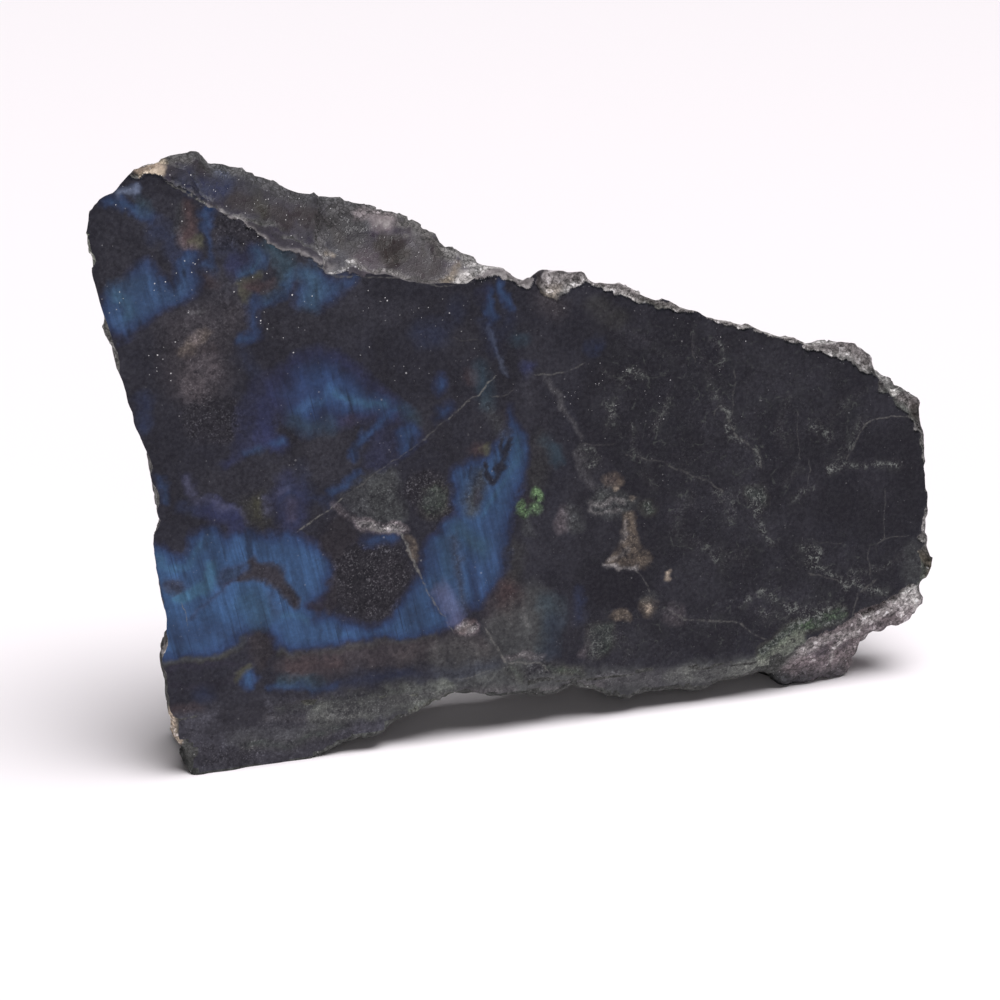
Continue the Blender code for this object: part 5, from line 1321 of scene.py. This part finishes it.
class Graph:
    """Adds shader nodes to one tree, with their inputs linked or set."""

    def __init__(self, tree):
        self.tree = tree

    def node(self, kind, inputs, **settings):
        made = self.tree.nodes.new("ShaderNode" + kind)
        for name, value in settings.items():
            setattr(made, name, value)
        for name, value in inputs.items():
            socket = made.inputs[name]
            if isinstance(value, bpy.types.NodeSocket):
                self.tree.links.new(value, socket)
            else:
                socket.default_value = value
        return made

    def math(self, operation, *values, clamp=False):
        inputs = dict(enumerate(values))
        return self.node("Math", inputs, operation=operation, use_clamp=clamp).outputs[0]

    def plus(self, first, second):
        return self.math("ADD", first, second)

    def minus(self, first, second):
        return self.math("SUBTRACT", first, second)

    def times(self, first, second, clamp=False):
        return self.math("MULTIPLY", first, second, clamp=clamp)

    def larger(self, first, second, clamp=False):
        return self.math("MAXIMUM", first, second, clamp=clamp)

    def vectors(self, operation, first, second):
        return self.node("VectorMath", {0: first, 1: second}, operation=operation).outputs[0]

    def scaled(self, vector, factor):
        if isinstance(factor, tuple):
            return self.vectors("MULTIPLY", vector, factor)
        return self.node("VectorMath", {0: vector, "Scale": factor}, operation="SCALE").outputs[0]

    def moved(self, vector, other, reach):
        """The vector moved up to half a reach each way, as another that runs from 0 to 1 says."""
        offset = self.vectors("SUBTRACT", other, (0.5, 0.5, 0.5))
        return self.vectors("ADD", vector, self.scaled(offset, reach))

    def noise(self, vector, scale, detail=2.0, roughness=0.5, output="Fac"):
        inputs = {"Vector": vector, "Scale": scale, "Detail": detail, "Roughness": roughness}
        return self.node("TexNoise", inputs).outputs[output]

    def cells(self, vector, scale, feature="F1", output="Distance"):
        inputs = {"Vector": vector, "Scale": scale}
        return self.node("TexVoronoi", inputs, feature=feature).outputs[output]

    def threads(self, vector, scale, width, core=0.0):
        """The thin borders between cells, 1 within the core and fading to 0 at the width."""
        return self.span(self.cells(vector, scale, "DISTANCE_TO_EDGE"), width, core)

    def span(self, value, low, high, to_low=0.0, to_high=1.0):
        """A value between low and high, eased into another range."""
        inputs = {"Value": value, "From Min": low, "From Max": high, "To Min": to_low, "To Max": to_high}
        return self.node("MapRange", inputs, interpolation_type="SMOOTHSTEP").outputs[0]

    def mix(self, share, first, second):
        inputs = {0: share, 6: first, 7: second}
        return self.node("Mix", inputs, data_type="RGBA").outputs[2]

    def gained(self, colour, gain):
        """The colour times a gain, held below the palest that stone gets."""
        return self.vectors("MINIMUM", self.scaled(colour, gain), PALEST)

    def attribute(self, name, output="Fac"):
        return self.node("Attribute", {}, attribute_name=name).outputs[output]

    def brighten(self, colour, factor):
        joined = self.node("CombineXYZ", {"X": factor, "Y": factor, "Z": factor}).outputs[0]
        return self.vectors("MULTIPLY", colour, joined)

    def grouped(self, tree, inputs):
        """The outputs of a shader group, with its inputs linked or set."""
        return self.node("Group", inputs, node_tree=tree).outputs


def group(name, inputs, outputs, fill):
    """A shader node group: fill(graph, its input sockets) returns a value for each output."""
    tree = bpy.data.node_groups.new(name, "ShaderNodeTree")
    for label, kind, default in inputs:
        socket = tree.interface.new_socket(label, in_out="INPUT", socket_type=kind)
        if default is not None:
            socket.default_value = default
    for label in outputs:
        tree.interface.new_socket(label, in_out="OUTPUT", socket_type="NodeSocketFloat")
    start, end = tree.nodes.new("NodeGroupInput"), tree.nodes.new("NodeGroupOutput")
    for label, value in zip(outputs, fill(Graph(tree), start.outputs)):
        tree.links.new(value, end.inputs[label])
    return tree


def grain_group():
    """Fine and coarse grain of the stone, and the crystals it breaks into."""
    def fill(graph, given):
        place = given["Place"]
        fine = graph.noise(place, 2.7, 4.0, 0.68)
        coarse = graph.noise(place, 0.62, 3.0, 0.6)
        bent = graph.moved(place, graph.noise(place, 1.4, 2.0, 0.5, "Color"), 0.5)
        shade = graph.cells(bent, CRYSTALS_PER_MM, output="Color")
        crystal = graph.node("SeparateColor", {0: shade}).outputs[0]
        edge = graph.cells(bent, CRYSTALS_PER_MM, "DISTANCE_TO_EDGE")
        return fine, coarse, crystal, edge
    outputs = ("Fine", "Coarse", "Crystal", "Edge")
    return group("stone grain", (("Place", "NodeSocketVector", None),), outputs, fill)


def speck_group():
    """Tiny pale specks of dust and chipped grains, as many as Amount asks for."""
    def fill(graph, given):
        place = graph.scaled(given["Place"], (1.0, 0.3, 1.0))
        spots = []
        for scale, radius in ((0.75, 0.10), (1.5, 0.13), (2.6, 0.15)):
            cell = graph.node("TexVoronoi", {"Vector": place, "Scale": scale})
            chance = graph.node("SeparateColor", {0: cell.outputs["Color"]}).outputs[0]
            reach = graph.times(graph.span(chance, 0.50, 1.0), radius)
            near = graph.minus(reach, cell.outputs["Distance"])
            spots.append(graph.times(graph.span(near, 0.0, 0.03), graph.span(chance, 0.6, 0.95)))
        most = graph.larger(graph.larger(spots[0], spots[1]), spots[2])
        return (graph.times(most, given["Amount"], clamp=True),)
    inputs = (("Place", "NodeSocketVector", None), ("Amount", "NodeSocketFloat", 1.0))
    return group("dust specks", inputs, ("Specks",), fill)


def started(name):
    """A new material, its graph and the place in part millimetres."""
    made = bpy.data.materials.new(name)
    made.use_nodes = True
    made.node_tree.nodes.clear()
    graph = Graph(made.node_tree)
    place = graph.scaled(graph.node("TexCoord", {}).outputs["Object"], 1.0 / MM)
    return made, graph, place


def finished(graph, inputs):
    """End a material with its one shader and its output."""
    shader = graph.node("BsdfPrincipled", inputs)
    graph.node("OutputMaterial", {"Surface": shader.outputs[0]})


def polished_face(grain_tree, speck_tree):
    """The sawn and polished front: dark, glossy, with blue sheets, a pale web and thin veins."""
    made, graph, place = started("polished face")
    grain = graph.grouped(grain_tree, {"Place": place})
    fine, coarse, crystal = (grain[name] for name in ("Fine", "Coarse", "Crystal"))
    colour = graph.attribute("face_colour", "Color")
    layers = ("flash", "grain", "web", "vein_side", "vein_glow")
    flash, rough, web, side, glow = (graph.attribute("face_" + name) for name in layers)

    # Dark grain everywhere, stronger where the stone is granular.
    depth = graph.plus(0.9, graph.times(rough, 1.6))
    grained = graph.plus(graph.times(fine, 1.5), graph.times(crystal, 0.5))
    swing = graph.times(depth, graph.minus(grained, 1.0))
    calm = graph.span(flash, 0.0, 1.0, 1.0, 0.45)
    colour = graph.brighten(colour, graph.larger(graph.plus(1.0, graph.times(swing, calm)), 0.08))

    # Pale grains and dark pits, in clusters where the stone is granular, and a faint mist elsewhere.
    grains = graph.noise(place, 5.2, 1.5, 0.6)
    cluster = graph.span(graph.noise(place, 0.85, 2.0, 0.6), 0.36, 0.60, 0.25, 1.0)
    bright = graph.times(graph.span(grains, 0.53, 0.72), cluster)
    pits = graph.span(grains, 0.48, 0.34)
    lift = graph.minus(graph.times(bright, 2.2), graph.times(pits, 0.70))
    colour = graph.brighten(colour, graph.plus(1.0, graph.times(lift, rough)))
    mist = graph.times(graph.span(fine, 0.36, 0.72, 0.0, 0.008), calm)
    added = graph.plus(graph.times(graph.times(bright, rough), 0.055), mist)
    tint = {"X": added, "Y": added, "Z": graph.times(added, 1.05)}
    colour = graph.vectors("ADD", colour, graph.node("CombineXYZ", tint).outputs[0])

    # Lamellae: fine lines across the flash, close to upright.
    lean = {"Vector": place, "Angle": SHEET_TURN}
    turned = graph.node("VectorRotate", lean, rotation_type="Y_AXIS").outputs[0]
    lines = graph.noise(graph.scaled(turned, (3.2, 1.0, 0.16)), 1.0, 3.0, 0.7)
    swell = graph.noise(graph.scaled(turned, (0.9, 1.0, 0.10)), 1.0, 2.0, 0.6)
    sheet = graph.plus(graph.span(lines, 0.25, 0.75, -0.20, 0.20), graph.span(swell, 0.3, 0.7, -0.20, 0.20))
    hairs = graph.noise(graph.scaled(turned, (5.0, 1.0, 0.12)), 1.0, 1.0, 0.5)
    hairs = graph.times(graph.span(hairs, 0.36, 0.28), graph.span(swell, 0.5, 0.6))
    sheet = graph.minus(sheet, graph.times(hairs, 0.5))
    colour = graph.brighten(colour, graph.plus(1.0, graph.times(sheet, flash)))

    # A crackled web of pale threads in the granular right half.
    bent = graph.moved(place, graph.noise(place, 0.9, 3.0, 0.6, "Color"), 1.5)
    gaps = graph.span(graph.noise(place, 1.1, 2.0, 0.5), 0.48, 0.68)
    threads = graph.times(graph.threads(bent, 0.42, 0.040), gaps)
    threads = graph.times(threads, graph.span(web, 0.0, 0.4, 0.0, 0.9))

    # Knots of crystal: short pale strokes and grains, close together.
    clumps = graph.span(graph.noise(place, 1.1, 2.0, 0.6), 0.38, 0.54, 0.25, 1.0)
    knotted = graph.times(graph.span(web, 0.42, 0.95), clumps)
    crossed = graph.moved(place, graph.noise(place, 2.2, 2.0, 0.6, "Color"), 0.7)
    finer = graph.times(graph.threads(crossed, 2.0, 0.065), 0.7)
    strokes = graph.larger(graph.threads(crossed, 0.95, 0.052, 0.008), finer)
    strokes = graph.times(strokes, graph.span(graph.noise(place, 2.4, 1.0, 0.5), 0.38, 0.56))
    work = graph.larger(strokes, graph.times(graph.span(grains, 0.55, 0.68), 0.7))
    webbed = graph.larger(threads, graph.times(work, knotted), clamp=True)
    cloudy = graph.span(graph.noise(place, 0.45, 4.0, 0.65), 0.45, 0.68)
    colour = graph.mix(graph.times(graph.times(web, cloudy), 0.55), colour, HAZE_PALE)
    colour = graph.mix(webbed, colour, graph.mix(knotted, WEB_PALE, KNOT_PALE))

    # Thin veins, ragged at the edge, and white dust.
    reach = graph.plus(graph.math("ABSOLUTE", side), graph.times(graph.minus(fine, 0.5), 4.0))
    broken = graph.span(graph.noise(place, 2.3, 3.0, 0.7), 0.34, 0.64, 0.08, 1.0)
    line = graph.times(graph.times(graph.span(reach, 1.5, 0.3), glow), broken, clamp=True)
    colour = graph.mix(line, colour, VEIN_PALE)
    specks = graph.grouped(speck_tree, {"Place": place, "Amount": graph.attribute("face_dust")})
    colour = graph.mix(specks["Specks"], colour, DUST_WHITE)

    height = graph.plus(graph.times(fine, 0.35), graph.times(line, 0.5))
    height = graph.plus(height, graph.times(webbed, 0.4))
    bump = graph.node("Bump", {"Strength": 0.10, "Distance": POLISH_RELIEF, "Height": height})
    gloss = graph.plus(graph.span(coarse, 0.3, 0.7, 0.20, 0.32), graph.times(rough, 0.10))
    finished(graph, {
        "Base Color": graph.gained(colour, FACE_GAIN), "Roughness": gloss, "IOR": STONE_IOR,
        "Specular IOR Level": 0.27, "Specular Tint": POLISH_SHEEN, "Normal": bump.outputs[0]})
    return made


def broken_stone(grain_tree, speck_tree):
    """The broken skin: matt, faceted and granular, sugary where it is pale."""
    made, graph, place = started("broken stone")
    grain = graph.grouped(grain_tree, {"Place": place})
    fine, crystal, edge = (grain[name] for name in ("Fine", "Crystal", "Edge"))
    sugar = graph.attribute("skin_sugar")
    colour = graph.attribute("skin_colour", "Color")
    grit = graph.attribute("skin_grit")

    # Grain and crystals in light and dark, with dark seams between the crystals.
    facets = graph.times(graph.minus(crystal, 0.5), 0.7)
    swing = graph.plus(graph.span(fine, 0.3, 0.7, -0.55, 0.55), facets)
    swing = graph.times(swing, graph.plus(graph.times(grit, 0.75), 0.25))
    colour = graph.brighten(colour, graph.larger(graph.plus(1.0, swing), 0.12))
    seam = graph.times(graph.span(edge, 0.09, 0.0), graph.times(grit, 0.5))
    colour = graph.mix(seam, colour, SEAM_DARK)

    # White crystals where it is sugary, and dust.
    sparks = graph.times(graph.span(crystal, 0.72, 0.95), graph.span(fine, 0.45, 0.65))
    colour = graph.mix(graph.times(sparks, sugar, clamp=True), colour, SUGAR_WHITE)
    specks = graph.grouped(speck_tree, {"Place": place, "Amount": SKIN_DUST})
    colour = graph.mix(specks["Specks"], colour, DUST_WHITE)

    height = graph.plus(graph.times(fine, 0.8), graph.times(crystal, 0.6))
    height = graph.plus(height, graph.span(edge, 0.0, 0.12, -0.4, 0.0))
    lift = graph.plus(graph.times(grit, 0.6), 0.1)
    bump = graph.node("Bump", {"Strength": lift, "Distance": BREAK_RELIEF, "Height": height})
    sheen = graph.times(graph.minus(1.0, grit), 0.3)
    gloss = graph.minus(graph.span(crystal, 0.6, 1.0, 0.78, 0.50), sheen)
    finished(graph, {
        "Base Color": graph.gained(colour, SKIN_GAIN), "Roughness": gloss, "IOR": STONE_IOR,
        "Specular IOR Level": 0.35, "Normal": bump.outputs[0]})
    return made


def studio_floor():
    """The pale sheet that the slab stands on."""
    made, graph = started("studio floor")[:2]
    finished(graph, {
        "Base Color": FLOOR_PALE, "Roughness": 0.40, "IOR": 1.45, "Specular IOR Level": 0.18})
    return made


# --- the scene ---

SIGHT_AIM = (DRAWING_X, FACE_Y, 26.8)
SIGHT_DISTANCE = 315.0
SIGHT_LENS = 108.0
SENSOR_WIDTH = 36.0
FLOOR_HALF = 1.6                   # half the floor's width, in metres
SKY_COLOUR = (1.0, 0.985, 1.0, 1.0)
SKY_STRENGTH = 0.06
KEY_STRENGTH = 4.05
KEY_SPREAD = 40.0
KEY_PLACE = (0.10, -0.34, 1.0)     # the way to the broad light above the slab
FILL_STRENGTH = 0.40
FILL_SPREAD = 30.0


def add_camera():
    """The camera, in front of the slab, to its left and above it."""
    data = bpy.data.cameras.new("camera")
    data.lens = SIGHT_LENS
    data.sensor_width = SENSOR_WIDTH
    camera = bpy.data.objects.new("camera", data)
    bpy.context.scene.collection.objects.link(camera)
    camera.location = (Vector(SIGHT_AIM) + Vector(SIGHT_WAY) * SIGHT_DISTANCE) * MM
    camera.rotation_euler = Vector(SIGHT_WAY).to_track_quat("Z", "Y").to_euler()
    bpy.context.scene.camera = camera


def add_light(name, place, strength, spread):
    """A light from far off, from the place towards the slab, with its shadows as soft as its spread."""
    data = bpy.data.lights.new(name, "SUN")
    data.energy = strength
    data.angle = radians(spread)
    lamp = bpy.data.objects.new(name, data)
    bpy.context.scene.collection.objects.link(lamp)
    lamp.location = place
    lamp.rotation_euler = Vector(place).to_track_quat("Z", "Y").to_euler()


def add_stage():
    """The floor, the sky and the two lights."""
    mesh = bpy.data.meshes.new("floor")
    corners = [(x * FLOOR_HALF, y * FLOOR_HALF, 0.0) for x, y in ((-1, -1), (1, -1), (1, 1), (-1, 1))]
    mesh.from_pydata(corners, [], [(0, 1, 2, 3)])
    mesh.materials.append(studio_floor())
    floor = bpy.data.objects.new("floor", mesh)
    bpy.context.scene.collection.objects.link(floor)
    world = bpy.data.worlds.new("studio")
    world.use_nodes = True
    sky = world.node_tree.nodes["Background"]
    sky.inputs["Color"].default_value = SKY_COLOUR
    sky.inputs["Strength"].default_value = SKY_STRENGTH
    bpy.context.scene.world = world
    bpy.context.scene.view_settings.view_transform = "Standard"
    add_light("broad light above", KEY_PLACE, KEY_STRENGTH, KEY_SPREAD)
    add_light("weak light in front", SIGHT_WAY, FILL_STRENGTH, FILL_SPREAD)


def main():
    """The stage, then the stone with its two materials, attached to the root body, with the CAD part hidden.
    """
    add_camera()
    add_stage()
    grain_tree, speck_tree = grain_group(), speck_group()
    piece = dressed_stone()
    piece.data.materials.append(polished_face(grain_tree, speck_tree))
    piece.data.materials.append(broken_stone(grain_tree, speck_tree))
    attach(piece, "root")
    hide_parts(NODE)


main()
